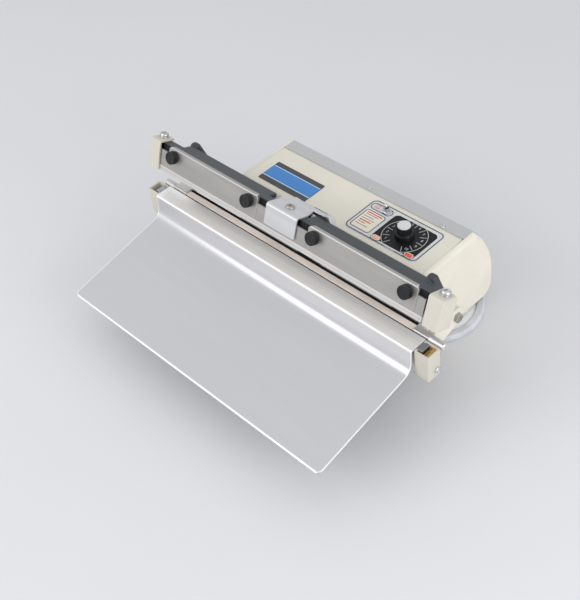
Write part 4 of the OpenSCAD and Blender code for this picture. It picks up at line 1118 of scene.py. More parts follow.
class SEALER_OT_toggle(bpy.types.Operator):
    """Makes the chrome toggle lever, its threaded bush and the two hex nuts"""

    bl_idname = "sealer.toggle"
    bl_label = "Toggle"

    def execute(self, context):
        lean = math.radians(JOINTS["toggle_tip"]["range_deg"][1] / 2)
        axis = (0.0, -math.sin(lean), math.cos(lean))
        reach = (corners_mm("toggle_lever")[1][2] - TOGGLE[2] - 1.8) / math.cos(lean)
        tip = arc((0.0, reach - 1.4), 2.2, -54, 90, 14)
        stem = [(AXIS_R, -1.4), (0.9, -1.3), (1.25, -0.6), (1.25, 1.0), (1.2, 3.0)]
        lever = on_axis(turned(np.concatenate([stem, tip]), 40), TOGGLE, axis)
        make("toggle_bat", [lever], "bright_steel", "power_toggle", ["toggle_lever"])

        pitch, bush_r, bush_top = 0.75, 3.04, 4.6

        def thread(turn, r, z):
            # A ridge that climbs one pitch a turn, on the outer wall only
            ridge = 0.16 * np.cos(2 * np.pi * z / pitch - turn)
            return ridge * np.clip((z - 0.2) / 0.3, 0, 1) * (r > bush_r - 0.09)

        wall = np.stack([np.full(30, bush_r), np.linspace(0.0, bush_top, 30)], 1)
        mouth = [(2.85, 5.0), (2.6, 5.0), (2.25, 4.2), (2.0, 3.0), (2.0, 0.6), (AXIS_R, 0.6)]
        foot = np.array([TOGGLE[0], TOGGLE[1], LABEL_TOP])
        bush = turned(np.concatenate([[(AXIS_R, 0.0)], wall, mouth]), 64, thread) + foot
        make("toggle_bush", [bush], "bright_steel", ROOT)

        # Half width over the flats, height and bore of each nut
        nuts = ((foot, 4.2, 1.8, 3.3), (np.array([TIMER[0], TIMER[1], LABEL_TOP]), 5.4, 2.0, 4.55))
        hexes = []
        for hub, flat, tall, bore in nuts:
            line = rounded(ring((0, 0), flat / math.cos(math.pi / 6), 6), 0.35, 3)
            rings = lofted(line, [0.4, 0, 0, 0.5, 1.0], [0.0, 0.25, tall - 0.4, tall, tall])
            inner = np.concatenate([ring((0, 0), bore, len(line)), np.full((len(line), 1), tall)], 1)
            under = inner * [1, 1, 0]
            hexes.append(np.concatenate([rings, inner[None], under[None], rings[:1]]) + hub)
        make("hex_nuts", hexes, "bright_steel", ROOT, ["bush_nuts"])
        return {"FINISHED"}


# Feet

class SEALER_OT_feet(bpy.types.Operator):
    """Makes the two round feet: a pale dish and a grey rubber rim"""

    bl_idname = "sealer.feet"
    bl_label = "Feet"

    def execute(self, context):
        low, high = corners_mm("foot_rims")
        radius, tall = (high[1] - low[1]) / 2, high[2]
        hub = np.array([high[0] - radius, (low[1] + high[1]) / 2, 0.0])
        dish_r = radius - 8.0
        bore, floor = dish_r - 8.0, 2.0
        corners = [(bore, 0.0), (radius - 0.2, 0.0), (radius, 2.2), (radius, tall), (dish_r, tall),
                   (dish_r, floor), (bore, floor)]
        rim = looped(rounded(corners, [0.3, 0.9, 0.9, 2.2, 1.4, 0.15, 0.3], 7))
        edge, boss, boss_top = dish_r - 0.1, 15.0, 7.95
        corners = [(AXIS_R, floor + SINK), (edge, floor + SINK), (edge, 4.7), (dish_r - 3.5, 5.0),
                   (boss, 5.0), (boss - 0.4, boss_top), (AXIS_R, boss_top)]
        dish = lathe(corners, [0.3, 0.6, 1.5, 0.7, 0.7])
        for name, profile, look, slot, node in (
                ("foot_rubber", rim, "foot_rim", "grey_rubber", "foot_rims"),
                ("foot_plates", dish, "foot_dish", "white_foot", "foot_dishes")):
            one = turned(profile, 128) + hub
            make(name, [one, mirrored(one)], look, ROOT, [node])
        return {"FINISHED"}


# Lower jaw

# End blocks: wall, how far their inner side is cut down, and the cut's distance from front and back
BLOCK_WALL = 2.0
BLOCK_CUT = 5.0
NOTCH_IN = 3.15
NOTCH_OUT = 3.05

# Hinge: radius of the arms' round ends
LOBE_R = 9.0


class SEALER_OT_work_table(bpy.types.Operator):
    """Makes the bent work table with its rolled front edge and round corners"""

    bl_idname = "sealer.work_table"
    bl_label = "Work table"

    def execute(self, context):
        low, high = (corner - JAW for corner in corners_mm("work_table"))
        half, top, thick, hem = high[0], high[2], 1.2, 1.5
        slope = math.tan(math.radians(11.6))
        foot = np.array([-3.8, top - 24.35])
        front = low[1] + hem
        end = np.array([front, foot[1] + (front - foot[0]) * slope])
        corners = [(high[1], top), (-2.4, top), tuple(foot), tuple(end)]
        bends = rounded(corners, [1.4, 12], 14, closed=False, lead=0.4)
        way = unit(end - foot)
        steps = np.linspace(9.0, 0.0, 13)[:, None]
        face = np.concatenate([bends[:-1], end - way * steps])
        back = face + side_of(face) * thick

        # The hem rolls under the front edge: a circle about a hub straight below the end of the face
        down = np.array([-way[1], way[0]])
        down = down if down[1] < 0 else -down
        hub = end + down * hem
        turn = np.radians(np.linspace(0, 281.5, 26))[:, None]
        curl = hub + hem * (-down * np.cos(turn) + way * np.sin(turn))
        keep = (back - hub) @ way < -hem
        outline = np.concatenate([face[:-1], curl, back[keep][::-1]])
        rings = prism(outline, -half, half, 0.25, 3, 0.1)
        middle = len(rings) // 2
        inside = np.repeat(rings[middle - 1:middle], 2, 0)
        inside[..., 2] = np.array([-1, 1])[:, None] * (half - 0.9)
        rings = np.concatenate([rings[:middle], inside, rings[middle:]])
        spots = middles(rings)
        # The hem and the side edges take a lighter finish: a painted highlight
        painted_highlight = (np.abs(spots[..., 2]) > half - 1.0) | (spots[..., 0] < front + 0.3)

        # Round corners: the sides move in by r - sqrt(r r - reach reach) near the front
        r = context.scene.sealer_sizes.table_corner / MM
        reach = np.clip(r - (rings[..., 0] - low[1]), 0, r)
        rings[..., 2] -= np.sign(rings[..., 2]) * (r - np.sqrt(r * r - reach * reach))
        make("table_top", [at_jaw(along_x(rings))], "table_sheet", ROOT, ["work_table"],
             angle=SHARP_DEG, trim=("sheet_edge", painted_highlight))
        return {"FINISHED"}


class SEALER_OT_end_blocks(bpy.types.Operator):
    """Makes the open cream end blocks of the lower jaw, their steel lugs and the brass sleeve"""

    bl_idname = "sealer.end_blocks"
    bl_label = "End blocks"

    def execute(self, context):
        r = context.scene.sealer_sizes.block_corner / MM
        wide, deep, tall = BLOCK_HIGH - BLOCK_LOW
        wall, cut = BLOCK_WALL, tall - BLOCK_CUT

        # How far each ring is drawn in, and its height: up the outside, over the rim and down the inside
        sections = [(1.0, 0.0), (0.5, 0.1), (0.12, 0.5), (0.0, 1.1), (0.0, tall - 0.8), (0.15, tall - 0.25),
                    (0.5, tall), (wall - 0.5, tall), (wall - 0.15, tall - 0.25), (wall, tall - 0.8),
                    (wall, wall + 0.6), (wall + 0.5, wall)]
        size = np.array([wide / 2, deep / 2])
        hub = np.array([BLOCK_X + wide / 2, deep / 2])
        notch = np.array([deep - NOTCH_OUT, deep - NOTCH_IN, NOTCH_IN, NOTCH_OUT])
        rings = []
        for inset, z in sections:
            line = round_rect(hub - size + inset, hub + size - inset, max(0.35, r - 0.4 * inset), 6)
            line = np.concatenate([line, np.stack([np.full(4, BLOCK_X + inset), notch], 1)])
            level = np.full(len(line), z)
            level[-3:-1] = min(z, cut)
            rings.append(np.column_stack([line, level]))
        block = at_jaw(np.stack(rings))
        for side, turn in SIDES:
            make("end_block_" + side, [turn(block)], "jaw_moulding", ROOT,
                 ["lower_block_" + side])

        inner, outer = BLOCK_X + 0.2, corners_mm("block_lugs")[1][0]
        outline = rounded([(inner, cut + 0.1), (inner, tall), (outer, tall), (outer, wall),
                           (BLOCK_X + wall, wall), (BLOCK_X + wall, cut + 0.1)], 0.3, 3)
        lug = at_jaw(along_y(prism(outline, NOTCH_IN + 0.1, deep - NOTCH_IN - 0.1, edge=0.3)))
        make("lug_hooks", [lug, mirrored(lug)], "steel", ROOT, ["block_lugs"])

        low, high = corners_mm("brass_sleeve")
        radius, length = (high[0] - low[0]) / 2, high[1] - low[1]
        bore = 0.55 * radius
        corners = [(bore, 0.0), (radius, 0.0), (radius, length), (bore, length)]
        tube = looped(rounded(corners, [0.2, 0.4, 0.4, 0.2], 3, lead=0.05))
        sleeve = on_axis(turned(tube, 48), (low[0] + radius, low[1], low[2] + radius), (0, 1, 0))
        make("sleeve_tube", [sleeve], "brass", ROOT, ["brass_sleeve"])
        return {"FINISHED"}


class SEALER_OT_terminals(bpy.types.Operator):
    """Makes the terminal blocks at both ends of the seal and the round studs beside them"""

    bl_idname = "sealer.terminals"
    bl_label = "Terminals"

    def execute(self, context):
        clamp_low, clamp_high = corners_mm("terminal_clamps")
        low, high = corners_mm("terminal_studs")
        radius = (high[1] - low[1]) / 2
        y, z = (low[1:] + high[1:]) / 2
        studs = []
        for root, tip in ((clamp_high[0], high[0]), (clamp_low[0], low[0])):
            length = abs(tip - root)
            shaft = lathe([(AXIS_R, -0.5), (radius, -0.5), (radius, length - 1.0), (radius - 1.0, length),
                           (AXIS_R, length)], [0.3, 0.4, 0.3])
            studs.append(on_axis(turned(shaft, 64), (root, y, z), (tip - root, 0, 0)))
        make("stud_pins", studs, "pale_steel", ROOT, ["terminal_studs"])

        # Each end has a block beside the release sheet and a shallower shoe that reaches the stud
        beam = corners_mm("lower_beam")[1][0]
        sheet_low, sheet_high = corners_mm("release_sheet")
        (_, front, base), (_, back, top) = clamp_low, clamp_high
        shoe, shoe_top = front + 6.4, top - 0.04
        clamps = []
        for x0, x1, rear, crown in (
                (-beam, sheet_low[0] - 0.2, back, top), (sheet_high[0] + 0.2, beam, back, top),
                (clamp_low[0], 0.4 - beam, shoe, shoe_top), (beam - 0.4, clamp_high[0], shoe, shoe_top)):
            corners = [(front, base), (rear, base), (rear, crown), (front, crown)]
            clamps.append(along_x(prism(rounded(corners, [0.4, 0.4, 1.1, 1.1], 8), x0, x1, edge=0.4)))
        make("terminal_blocks", clamps, "pale_steel", ROOT, ["terminal_clamps"])
        return {"FINISHED"}


class SEALER_OT_hinge_arms(bpy.types.Operator):
    """Makes the cream hinge arms of the body, with a round lobe about the hinge"""

    bl_idname = "sealer.hinge_arms"
    bl_label = "Hinge arms"

    def execute(self, context):
        low, high = corners_mm("hinge_arms")
        corner, long, tall = 0.8, 17.4, 14.4
        front = np.array([low[1] + corner, low[2] + corner])
        spots = [HINGE[1:], front, front + [long, 0.0], front + [0.0, tall], front + [long, tall]]
        outline = hull_of_discs(spots, [LOBE_R, corner, corner, corner, corner])
        arm = along_x(prism(outline, high[0] - 8.0, high[0], edge=0.7))
        make("fixed_arms", [arm, mirrored(arm)], "cream_paint", ROOT, ["hinge_arms"])
        return {"FINISHED"}


class SEALER_OT_release_strip(bpy.types.Operator):
    """Lays the release strip over the heating ribbon, crowned by a parabola across its width"""

    bl_idname = "sealer.release_strip"
    bl_label = "Release strip"

    def execute(self, context):
        low, high = corners_mm("release_sheet")
        y = np.linspace(low[1], high[1] - 1.2, 15)
        crown = high[2] + 0.25 * (1 - ((y - y.mean()) / (y[-1] - y[0]) * 2) ** 2)
        section = np.concatenate([np.stack([y, crown], 1), [(y[-1], low[2]), (y[0], low[2])]])
        cloth = along_x(slab(section, low[0], high[0]))
        make("release_strip", [cloth], "release_sheet", ROOT, ["release_sheet"])
        return {"FINISHED"}


class SEALER_OT_hinge_pins(bpy.types.Operator):
    """Makes the hinge bolts with their washers and hex heads"""

    bl_idname = "sealer.hinge_pins"
    bl_label = "Hinge bolts"

    def execute(self, context):
        arm_out = corners_mm("jaw_arms")[1][0]
        arm_in, beam_end, tip = arm_out - ARM_WIDE, arm_out + 4.0, BLOCK_X + 1.0
        bolt, washer = 4.0, 6.4
        profile = [(AXIS_R, arm_in - 6.0), (bolt, arm_in - 6.0), (bolt, arm_in - 5.0), (washer, arm_in - 5.0),
                   (washer, arm_in - 0.5), (bolt, arm_in - 0.5), (bolt, beam_end - 3.5),
                   (washer, beam_end - 3.5), (washer, beam_end), (bolt, beam_end), (bolt, tip), (AXIS_R, tip)]
        shaft = on_axis(turned(profile, 48), (0, HINGE[1], HINGE[2]), (1, 0, 0))
        line = rounded(ring((0, 0), 5.0, 6), 0.35, 3)
        head = lofted(line, [0.3, 0, 0, 0.4, 0.9, 1.3], [0.0, 0.25, 2.6, 3.2, 3.5, 3.5])
        head = on_axis(head, (BLOCK_X, HINGE[1], HINGE[2]), (1, 0, 0))
        shells = [shaft, head, mirrored(shaft), mirrored(head)]
        make("hinge_pins", shells, "dull_steel", ROOT, ["hinge_bolts"])
        return {"FINISHED"}


# Upper jaw, drawn shut and swung open

UPPER_HALF = corners_mm("upper_cap_right")[1][0]
UPPER_Z = 35.5
BAR_HALF = UPPER_HALF - 2.2
BAR_TOP = 63.5
BAR_FRONT = 4.7
BAR_REAR = 25.5
NOSE_BACK = 16.0
SHOULDER_X = BLOCK_X - 10.0
SHOULDER_R = 8.0
RECESS_LEFT = 30.5
RECESS_RIGHT = 21.0
STEP_Y = 8.0
STEP_Z = 52.5
LIP_TOP = 41.0
RAIL_TOP = 52.4
RAIL_BACK = 27.0
RAIL_RIGHT = BLOCK_X - 0.6
WALL_TOP = 57.5
CHANNEL_FRONT = 16.9
CHANNEL_BACK = 25.1
CHANNEL_TOP = 38.0
PLATE_FRONT = 2.2
PLATE_BACK = 4.65
PLATE_LIP = 7.0
PLATE_TOP = BAR_TOP + 1.2
CAP_DEEP = 18.0
CAP_WIDE = 16.0
CAP_TOP = UPPER_Z + 30.0
CAP_SCREW_Y = 11.5
ARM_WIDE = 9.0


class SEALER_OT_press_bar(bpy.types.Operator):
    """Makes the black press bar: a nose along its front and two deep halves beside the bracket"""

    bl_idname = "sealer.press_bar"
    bl_label = "Press bar"

    def execute(self, context):
        corners = [(BAR_FRONT, BAR_TOP), (NOSE_BACK, BAR_TOP), (NOSE_BACK, LIP_TOP), (STEP_Y, LIP_TOP),
                   (STEP_Y, STEP_Z), (BAR_FRONT, STEP_Z)]
        nose = prism(rounded(corners, [0.9, 1.0, 0.8, 0.4, 0.4, 0.5], 6), -BAR_HALF, BAR_HALF, edge=0.5)
        # Its front face takes the darker finish: painted shade
        front = middles(nose)[..., 0] < BAR_FRONT + 0.4
        make("bar_nose", [swung(along_x(nose))], "bar_black", UPPER, ["press_bar"],
             trim=("bar_front", front))
        deep = []
        for start, turn in ((RECESS_RIGHT, as_drawn), (RECESS_LEFT, mirrored)):
            corners = [(start, LIP_TOP), (SHOULDER_X, LIP_TOP), (SHOULDER_X, BAR_TOP), (start, BAR_TOP)]
            outline = rounded(corners, [0.8, 0.8, SHOULDER_R, 0.8], 12)
            deep.append(turn(swung(along_y(prism(outline, NOSE_BACK - 1.5, BAR_REAR, 1.0, 4)))))
        make("bar_black", deep, "bar_black", UPPER, ["press_bar"])
        return {"FINISHED"}


class SEALER_OT_jaw_rail(bpy.types.Operator):
    """Makes the alloy profile under the press bar, its front wall and the rubber strip in its channel"""

    bl_idname = "sealer.jaw_rail"
    bl_label = "Jaw profile"

    def execute(self, context):
        # The groove in the front face, and the part that rail and tips have in common
        groove_y = PLATE_FRONT + 0.45
        groove = [(PLATE_FRONT, 38.9), (groove_y, 38.7), (groove_y, 38.2), (PLATE_FRONT, 38.0)]
        upright = [(STEP_Y, LIP_TOP), (STEP_Y, RAIL_TOP), (BAR_FRONT, RAIL_TOP), (BAR_FRONT, LIP_TOP),
                   (PLATE_FRONT, LIP_TOP), *groove]
        upright_r = [0.2, 0.3, 0.3, 0.2, 0.5, 0.08, 0.08, 0.08, 0.08]
        corners = [(PLATE_FRONT, UPPER_Z), (CHANNEL_FRONT, UPPER_Z), (CHANNEL_FRONT, CHANNEL_TOP),
                   (CHANNEL_BACK, CHANNEL_TOP), (CHANNEL_BACK, UPPER_Z), (RAIL_BACK, UPPER_Z),
                   (RAIL_BACK, LIP_TOP), *upright]
        section = rounded(corners, [0.4, 0.2, 0.2, 0.2, 0.2, 0.3, 0.3, *upright_r], 4, lead=0.05)
        rail = along_x(prism(section, -SHOULDER_X, SHOULDER_X, 0.15, 2, 0.05))
        corners = [(PLATE_FRONT, UPPER_Z), (NOSE_BACK, UPPER_Z), (NOSE_BACK, LIP_TOP), *upright]
        section = rounded(corners, [0.4, 0.3, 0.3, *upright_r], 4, lead=0.05)
        right, left = (along_x(prism(section, SHOULDER_X - 0.2, end, 0.05, 2, 0.02))
                       for end in (RAIL_RIGHT, BAR_HALF))
        shells = [swung(s) for s in (rail, right, mirrored(left))]
        make("jaw_rail", shells, "alloy", UPPER, ["jaw_profile"])

        low, high = corners_mm("clamp_plate_right")
        wall = round_rect((PLATE_FRONT + 0.2, LIP_TOP - 0.5), (4.6, WALL_TOP), 0.25, 3)
        inner, outer = low[0] - 0.2, high[0] + 0.2
        spans = [(-inner, inner), (outer, RAIL_RIGHT), (-BAR_HALF, -outer)]
        shells = [swung(along_x(prism(wall, *span, edge=0.2))) for span in spans]
        make("rail_walls", shells, "plate", UPPER, ["jaw_profile"])

        low, high = corners_mm("rubber_strip")
        line = round_rect((CHANNEL_FRONT + 0.1, 31.0), (CHANNEL_BACK - 0.1, CHANNEL_TOP - 0.1), 0.7, 5)
        rubber = along_x(prism(line, low[0], high[0], edge=0.4))
        make("seal_rubber", [swung(rubber)], "black_rubber", UPPER, ["rubber_strip"])
        return {"FINISHED"}


class SEALER_OT_swing_arms(bpy.types.Operator):
    """Makes the black arms from the press bar to the hinge, with well rounded edges"""

    bl_idname = "sealer.swing_arms"
    bl_label = "Jaw arms"

    def execute(self, context):
        out = corners_mm("jaw_arms")[1][0]
        spots = [HINGE[1:] - JAW[1:], (BAR_REAR + 5.0, BAR_TOP - 2.5), (BAR_REAR + 3.6, LIP_TOP + 5.1),
                 (BAR_REAR + 3.6, BAR_TOP - 11.6)]
        outline = hull_of_discs(spots, [LOBE_R, 5.0, 3.6, 3.6])
        arm = swung(along_x(prism(outline, out - ARM_WIDE, out, 3.2, 9)))
        make("swing_arms", [arm, mirrored(arm)], "bar_black", UPPER, ["jaw_arms"])
        return {"FINISHED"}


class SEALER_OT_upper_caps(bpy.types.Operator):
    """Makes the two cream caps over the ends of the press bar"""

    bl_idname = "sealer.upper_caps"
    bl_label = "Upper caps"

    def execute(self, context):
        sizes = context.scene.sealer_sizes
        x0, x1, y0, y1, z0, z1 = UPPER_HALF - CAP_WIDE, UPPER_HALF, 0.0, CAP_DEEP, UPPER_Z, CAP_TOP
        points = np.array([(x0, y0, z0), (x1, y0, z0), (x1, y0, z1), (x0, y0, z1),
                           (x1, y1, z0), (x1, y1, z1), (x0, y1, z1)])
        walls = [(0, 1, 2, 3), (1, 4, 5, 2), (3, 2, 5, 6)]
        for side, turn in SIDES:
            mesh = bpy.data.meshes.new("cap_" + side)
            faces = walls if side == "right" else [wall[::-1] for wall in walls]
            mesh.from_pydata((turn(swung(points)) * MM).tolist(), [], faces)
            mesh.shade_smooth()
            obj = new_object("cap_" + side, mesh)
            soft = obj.modifiers.new("corners", "BEVEL")
            soft.width = sizes.cap_corner
            soft.segments = 6
            soft.limit_method = "ANGLE"
            shell = obj.modifiers.new("wall", "SOLIDIFY")
            shell.thickness = 0.002
            shell.offset = -1.0
            shell.use_even_offset = True
            rim = obj.modifiers.new("rim", "BEVEL")
            rim.width = sizes.edge
            rim.segments = 3
            rim.limit_method = "ANGLE"
            rim.angle_limit = math.radians(60)
            rim.harden_normals = True
            dress(obj, "jaw_moulding", UPPER, ["upper_cap_" + side])
        return {"FINISHED"}


class SEALER_OT_clamp_plates(bpy.types.Operator):
    """Makes the two clamp plates with their turned top edges"""

    bl_idname = "sealer.clamp_plates"
    bl_label = "Clamp plates"

    def execute(self, context):
        r = context.scene.sealer_sizes.plate_corner / MM
        low, high = corners_mm("clamp_plate_right")
        base, bar = LIP_TOP + 0.2, BAR_TOP + 0.05
        corners = [(PLATE_FRONT, base), (PLATE_BACK, base), (PLATE_BACK, bar), (PLATE_LIP, bar),
                   (PLATE_LIP, PLATE_TOP), (PLATE_FRONT, PLATE_TOP)]
        section = rounded(corners, [0.35, 0.2, 0.1, 0.35, 0.35, 1.3], 6, lead=0.06)

        # More points up the front and the back, so that the round corners have points to bend
        bend = PLATE_TOP - r - 0.2
        front = np.stack([np.full(10, PLATE_FRONT), np.linspace(PLATE_TOP - 1.6, bend, 10)], 1)
        back = np.stack([np.full(8, PLATE_BACK), np.linspace(bend, BAR_TOP - 0.4, 8)], 1)
        y, z = section.T
        at = np.argmax((np.abs(y - PLATE_BACK) < 0.05) & (z > 60.0))
        section = np.concatenate([section[:at], back, section[at:], front])
        rings = prism(section, low[0], high[0], 0.3, 3, 0.08)

        middle, half = (low[0] + high[0]) / 2, (high[0] - low[0]) / 2
        y, z, x = np.moveaxis(middles(rings), -1, 0)
        # The turned top edge, the lower lip and the ends take a lighter finish: a painted highlight
        painted_highlight = ((z > PLATE_TOP - 1.0) & ((y < PLATE_FRONT + 1.0) | (y > 6.6))) | (z < LIP_TOP + 0.5)
        painted_highlight |= np.abs(x - middle) > half - 0.3

        # Round corners: the sides move in by r - sqrt(r r - reach reach) near the top, and by r at the lip
        reach = np.clip(rings[..., 1] - (PLATE_TOP - r), 0, r)
        cut = r - np.sqrt(np.maximum(r * r - reach * reach, 0))
        cut = np.where(rings[..., 0] > PLATE_BACK + 0.25, r, cut)
        rings[..., 2] -= np.sign(rings[..., 2] - middle) * cut
        plate = swung(along_x(rings))
        for side, turn in SIDES:
            make("plate_" + side, [turn(plate)], "plate", UPPER, ["clamp_plate_" + side],
                 angle=SHARP_DEG, trim=("plate_edge", painted_highlight))
        return {"FINISHED"}


class SEALER_OT_centre_bracket(bpy.types.Operator):
    """Makes the bright bracket over the middle of the bar, with its tabs and its tail to the pull pin"""

    bl_idname = "sealer.centre_bracket"
    bl_label = "Centre bracket"

    def execute(self, context):
        bend = context.scene.sealer_sizes.sheet_bend / MM
        thick, half, slim, back, tail_half = 2.0, 19.5, 13.5, 34.0, 6.5
        front, top = PLATE_FRONT - thick, BAR_TOP + thick

        # The saddle gets narrower behind the nose, and is cut away where the tail bends down
        face = rounded([(front, LIP_TOP + 3.0), (front, top), (back, top)], [bend], 10, closed=False)
        plain = np.linspace(NOSE_BACK - 2.0, back - 1.0, 6)
        section = strip(np.concatenate([face[:-1], np.stack([plain, np.full(6, top)], 1)]), -thick)
        sheet = prism(section, -half, half, 0.4, 4)
        share = np.clip((sheet[..., 0] - plain[0]) / (plain[-1] - plain[0]), 0, 1)
        sheet[..., 2] *= 1 - (1 - slim / half) * share
        notch = np.repeat(lofted(section, [0], [0]), 4, 0)
        notch[..., 2] = np.array([-6.8, -6.7, 6.7, 6.8])[:, None]
        notch[1:3, :, 0] -= np.where(section[:, 0] > back - 4.0, bend - 0.9, 0)
        middle = len(sheet) // 2
        saddle = along_x(np.concatenate([sheet[:middle], notch, sheet[middle:]]))

        # The tail goes down to an eye round the pull pin, 14 mm from the hinge
        pin = HINGE[1:] - JAW[1:] - 14.0 * np.array([math.cos(OPEN / 2), math.sin(OPEN / 2)])
        corners = [(back - bend - 0.3, top), (back, top), (pin[0] + 1.0, pin[1])]
        tail = rounded(corners, [bend], 10, closed=False, lead=0.05)
        tongue = along_x(prism(strip(tail, -thick), -tail_half, tail_half, edge=0.4))
        bore, rim = 2.55, 4.5
        corners = [(bore, -tail_half), (rim, -tail_half), (rim, tail_half), (bore, tail_half)]
        eye = looped(rounded(corners, 0.3, 3, lead=0.05))
        barrel = on_axis(turned(eye, 48), (0, pin[0], pin[1]), (1, 0, 0))

        # A curled tab to the right and a low tab to the left
        tip, level = RECESS_LEFT + 7.5, top - 0.04
        curl = rounded([(9.5, level), (tip - 11.5, level), (tip - 4.0, top + 2.5), (tip, top - 5.0)],
                       [6, 3], 10, closed=False)
        hook = along_y(prism(strip(curl, -thick), BAR_REAR + 1.0, back - 1.0, edge=0.4))
        fall = rounded([(12.5, level), (half, level), (RECESS_LEFT - 1.2, top - 5.0)], [4], 10, closed=False)
        ear = along_y(prism(strip(fall, -thick), NOSE_BACK + 2.0, BAR_REAR - 1.5, edge=0.4))
        shells = [swung(s) for s in (saddle, tongue, barrel, hook, mirrored(ear))]
        make("bracket_sheet", shells, "bracket_sheet", UPPER, ["centre_bracket"])
        return {"FINISHED"}


class SEALER_OT_thumbscrews(bpy.types.Operator):
    """Makes the four knurled thumbscrews"""

    bl_idname = "sealer.thumbscrews"
    bl_label = "Thumbscrews"

    def execute(self, context):
        ribs = context.scene.sealer_sizes.thumb_flutes
        shank, collar, head, tall = 2.45, 5.3, 6.5, 7.0

        def knurled(turn, r, z):
            # Grooves 0.60 deep between sharp ribs
            return -0.60 * faded(z, 1.9, 6.5, 0.5) * np.abs(np.sin(ribs * turn / 2)) ** 1.5

        wall = np.stack([np.full(9, head), np.linspace(2.1, 6.3, 9)], 1)
        corners = [(AXIS_R, -9.0), (shank, -9.0), (shank, 0.0), (collar, 0.0), (collar, 1.5), (head, 1.9)]
        start = lathe(corners, [0.4, 0.15, 0.3, 0.2])
        corners = [(head, 6.4), (6.3, tall), (4.4, tall), (4.0, 6.55), (AXIS_R, 6.45)]
        end = lathe(corners, [0.35, 0.25, 0.3])
        screw = turned(np.concatenate([start, wall, end]), ribs * 6, knurled)
        for number in "1234":
            joint = JOINTS["thumb_turn_" + number]
            axis = np.array(joint["axis"])
            foot = np.array(joint["pos_m"]) / MM + axis * (PLATE_FRONT - 0.45)
            make("thumb_%s_knurled" % number, [on_axis(screw, foot, -axis)], "black_moulding",
                 "thumb_" + number, ["thumbscrew_" + number])
        return {"FINISHED"}


# Screws and small parts

def cross_head(radius, tall, recess):
    """Rings of a pan head with a cross recess: the height over a short straight skirt goes with
    sqrt(1 - (r / R) ** 4), less a pit that is deep where |x| or |y| is small and r is well inside R."""
    s = np.linspace(0, 1, 40)
    r = radius * np.sin(s[::-1] * np.pi / 2)
    turn = np.linspace(0, 2 * np.pi, 144, endpoint=False)
    x, y = r[:, None] * np.cos(turn), r[:, None] * np.sin(turn)
    skirt = 0.35 * tall
    z = skirt + (tall - skirt) * np.sqrt(np.maximum(0, 1 - (r / radius) ** 4))[:, None] + 0 * x
    slim = np.minimum(np.abs(x), np.abs(y)) / (0.20 * radius)
    far = np.hypot(x, y) / (0.68 * radius)
    pit = np.clip(2.2 - 2.2 * slim, 0, 1) * np.clip(3.5 - 3.5 * far, 0, 1)
    top = np.stack([x, y, z - recess * pit], 2)
    base = np.stack([x[0], y[0], 0 * x[0]], 1)[None]
    return np.concatenate([base * [0.9, 0.9, 1], base, top])


class SEALER_OT_screws(bpy.types.Operator):
    """Makes the cross-head screws of the caps, bracket, cover and end blocks"""

    bl_idname = "sealer.screws"
    bl_label = "Screws"

    def execute(self, context):
        up = swung(np.array([0.0, CAP_SCREW_Y, 100.0])) - swung(np.array([0.0, CAP_SCREW_Y, 0.0]))
        seat = swung(np.array([UPPER_HALF - CAP_WIDE / 2, CAP_SCREW_Y, CAP_TOP]))
        rim, thick = 5.2, 0.8
        washer = turned(lathe([(AXIS_R, 0.0), (rim, 0.0), (rim, thick), (AXIS_R, thick)], [0.25, 0.25]), 48)
        head = cross_head(4.5, 4.2, 1.5) + [0, 0, thick - 0.05]
        caps = [on_axis(washer, seat, up), on_axis(head, seat, up)]
        caps += [mirrored(s) for s in caps]
        make("cap_heads", caps, "screw_steel", UPPER, ["cap_screws"])
        seat = swung(np.array([0.0, CAP_SCREW_Y, BAR_TOP + 2.0]))
        head = on_axis(cross_head(4.5, 2.6, 1.8), seat, up)
        make("bracket_head", [head], "dull_steel", UPPER, ["bracket_screw"])

        low, high = corners_mm("cover_screws")
        radius, y, z = 2.2, (low[1] + high[1]) / 2, high[2] - 1.4
        small = cross_head(radius, 1.3, 0.7)
        heads = [small + [x, y, z] for x in (low[0] + radius, high[0] - radius)]
        make("cover_heads", heads, "bright_steel", ROOT, ["cover_screws"])
        low, high = corners_mm("block_screws")
        _, y, z = (low + high) / 2
        side = on_axis(cross_head(3.23, 2.3, 1.0), (BLOCK_HIGH[0], y, z), (1, 0, 0))
        make("block_heads", [side, mirrored(side)], "bright_steel", ROOT, ["block_screws"])
        return {"FINISHED"}


class SEALER_OT_cord_gland(bpy.types.Operator):
    """Makes the rubber gland in the back for the mains cord"""

    bl_idname = "sealer.cord_gland"
    bl_label = "Cord gland"

    def execute(self, context):
        low, high = corners_mm("cord_gland")
        x, _, z = (low + high) / 2
        bore, neck, flange, face = 3.25, 5.35, 9.0, high[1] - low[1]
        corners = [(bore, 0.0), (neck, 0.0), (neck, face - 2.1), (flange, face - 2.1), (flange, face - 0.9),
                   (5.2, face), (bore, face)]
        profile = looped(rounded(corners, [0.2, 0.4, 0.15, 0.35, 0.5, 0.5, 0.5], 5, lead=0.05))
        gland = on_axis(turned(profile, 64), (x, low[1], z), (0, 1, 0))
        make("gland_ring", [gland], "black_rubber", ROOT, ["cord_gland"])
        return {"FINISHED"}


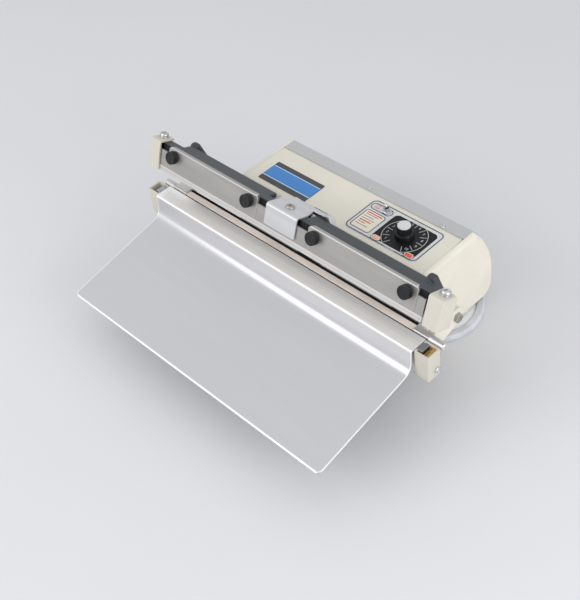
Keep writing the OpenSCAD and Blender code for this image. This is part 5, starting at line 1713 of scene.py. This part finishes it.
class SEALER_OT_return_spring(bpy.types.Operator):
    """Winds the return spring under the closing yoke"""

    bl_idname = "sealer.return_spring"
    bl_label = "Return spring"

    def execute(self, context):
        # A wire along a helix: out is the unit vector at angle t, and the height rises evenly with t
        low, high = corners_mm("return_spring")
        hub, wire, turns, play = (low + high) / 2, 0.5, 3, 0.05
        radius = (high[0] - low[0]) / 2 - wire - play
        rise = high[2] - low[2] - 2 * wire - 2 * play
        t = np.linspace(0, 2 * np.pi * turns, turns * 48)
        out = np.stack([np.cos(t), np.sin(t), 0 * t], 1)
        path = hub * [1, 1, 0] + radius * out
        path[:, 2] = low[2] + wire + play + rise * t / t[-1]
        a = np.linspace(0, 2 * np.pi, 12, endpoint=False)[None, :, None]
        rings = path[:, None] + wire * (np.cos(a) * out[:, None] + np.sin(a) * [0.0, 0.0, 1.0])
        coil = make("spring_coil", [rings], "steel", ROOT, ["return_spring"])
        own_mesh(coil)
        return {"FINISHED"}


class SEALER_PT_panel(bpy.types.Panel):
    """Lists the pieces of the sealer in the order in which they are made"""

    bl_idname = "SEALER_PT_panel"
    bl_label = "Impulse sealer"
    bl_space_type = "VIEW_3D"
    bl_region_type = "UI"
    bl_category = "Sealer"

    def draw(self, context):
        column = self.layout.column()
        for step in STEPS:
            column.operator(step.bl_idname)
        for group in (context.scene.sealer_sizes, context.scene.sealer_colours, context.scene.sealer_studio):
            box = self.layout.box()
            for name in group.__annotations__:
                box.prop(group, name)


STEPS = (
    SEALER_OT_stage, SEALER_OT_kept_nodes, SEALER_OT_body_shell, SEALER_OT_control_print,
    SEALER_OT_stripe_print, SEALER_OT_lamps, SEALER_OT_timer_knob, SEALER_OT_toggle, SEALER_OT_feet,
    SEALER_OT_work_table, SEALER_OT_end_blocks, SEALER_OT_terminals, SEALER_OT_hinge_arms,
    SEALER_OT_release_strip, SEALER_OT_hinge_pins, SEALER_OT_press_bar, SEALER_OT_jaw_rail,
    SEALER_OT_swing_arms, SEALER_OT_upper_caps, SEALER_OT_clamp_plates, SEALER_OT_centre_bracket,
    SEALER_OT_thumbscrews, SEALER_OT_screws, SEALER_OT_cord_gland, SEALER_OT_return_spring,
)
GROUPS = (SealerSizes, SealerColours, SealerStudio)


def register():
    """Makes the classes and the three groups of values known to Blender."""
    for cls in (*GROUPS, *STEPS, SEALER_PT_panel):
        bpy.utils.register_class(cls)
    bpy.types.Scene.sealer_sizes = PointerProperty(type=SealerSizes)
    bpy.types.Scene.sealer_colours = PointerProperty(type=SealerColours)
    bpy.types.Scene.sealer_studio = PointerProperty(type=SealerStudio)


def unregister():
    """Takes back what register did."""
    del bpy.types.Scene.sealer_sizes
    del bpy.types.Scene.sealer_colours
    del bpy.types.Scene.sealer_studio
    for cls in reversed((*GROUPS, *STEPS, SEALER_PT_panel)):
        bpy.utils.unregister_class(cls)


def main():
    register()
    for step in STEPS:
        getattr(bpy.ops.sealer, step.bl_idname.split(".")[1])()


if __name__ == "__main__":
    main()
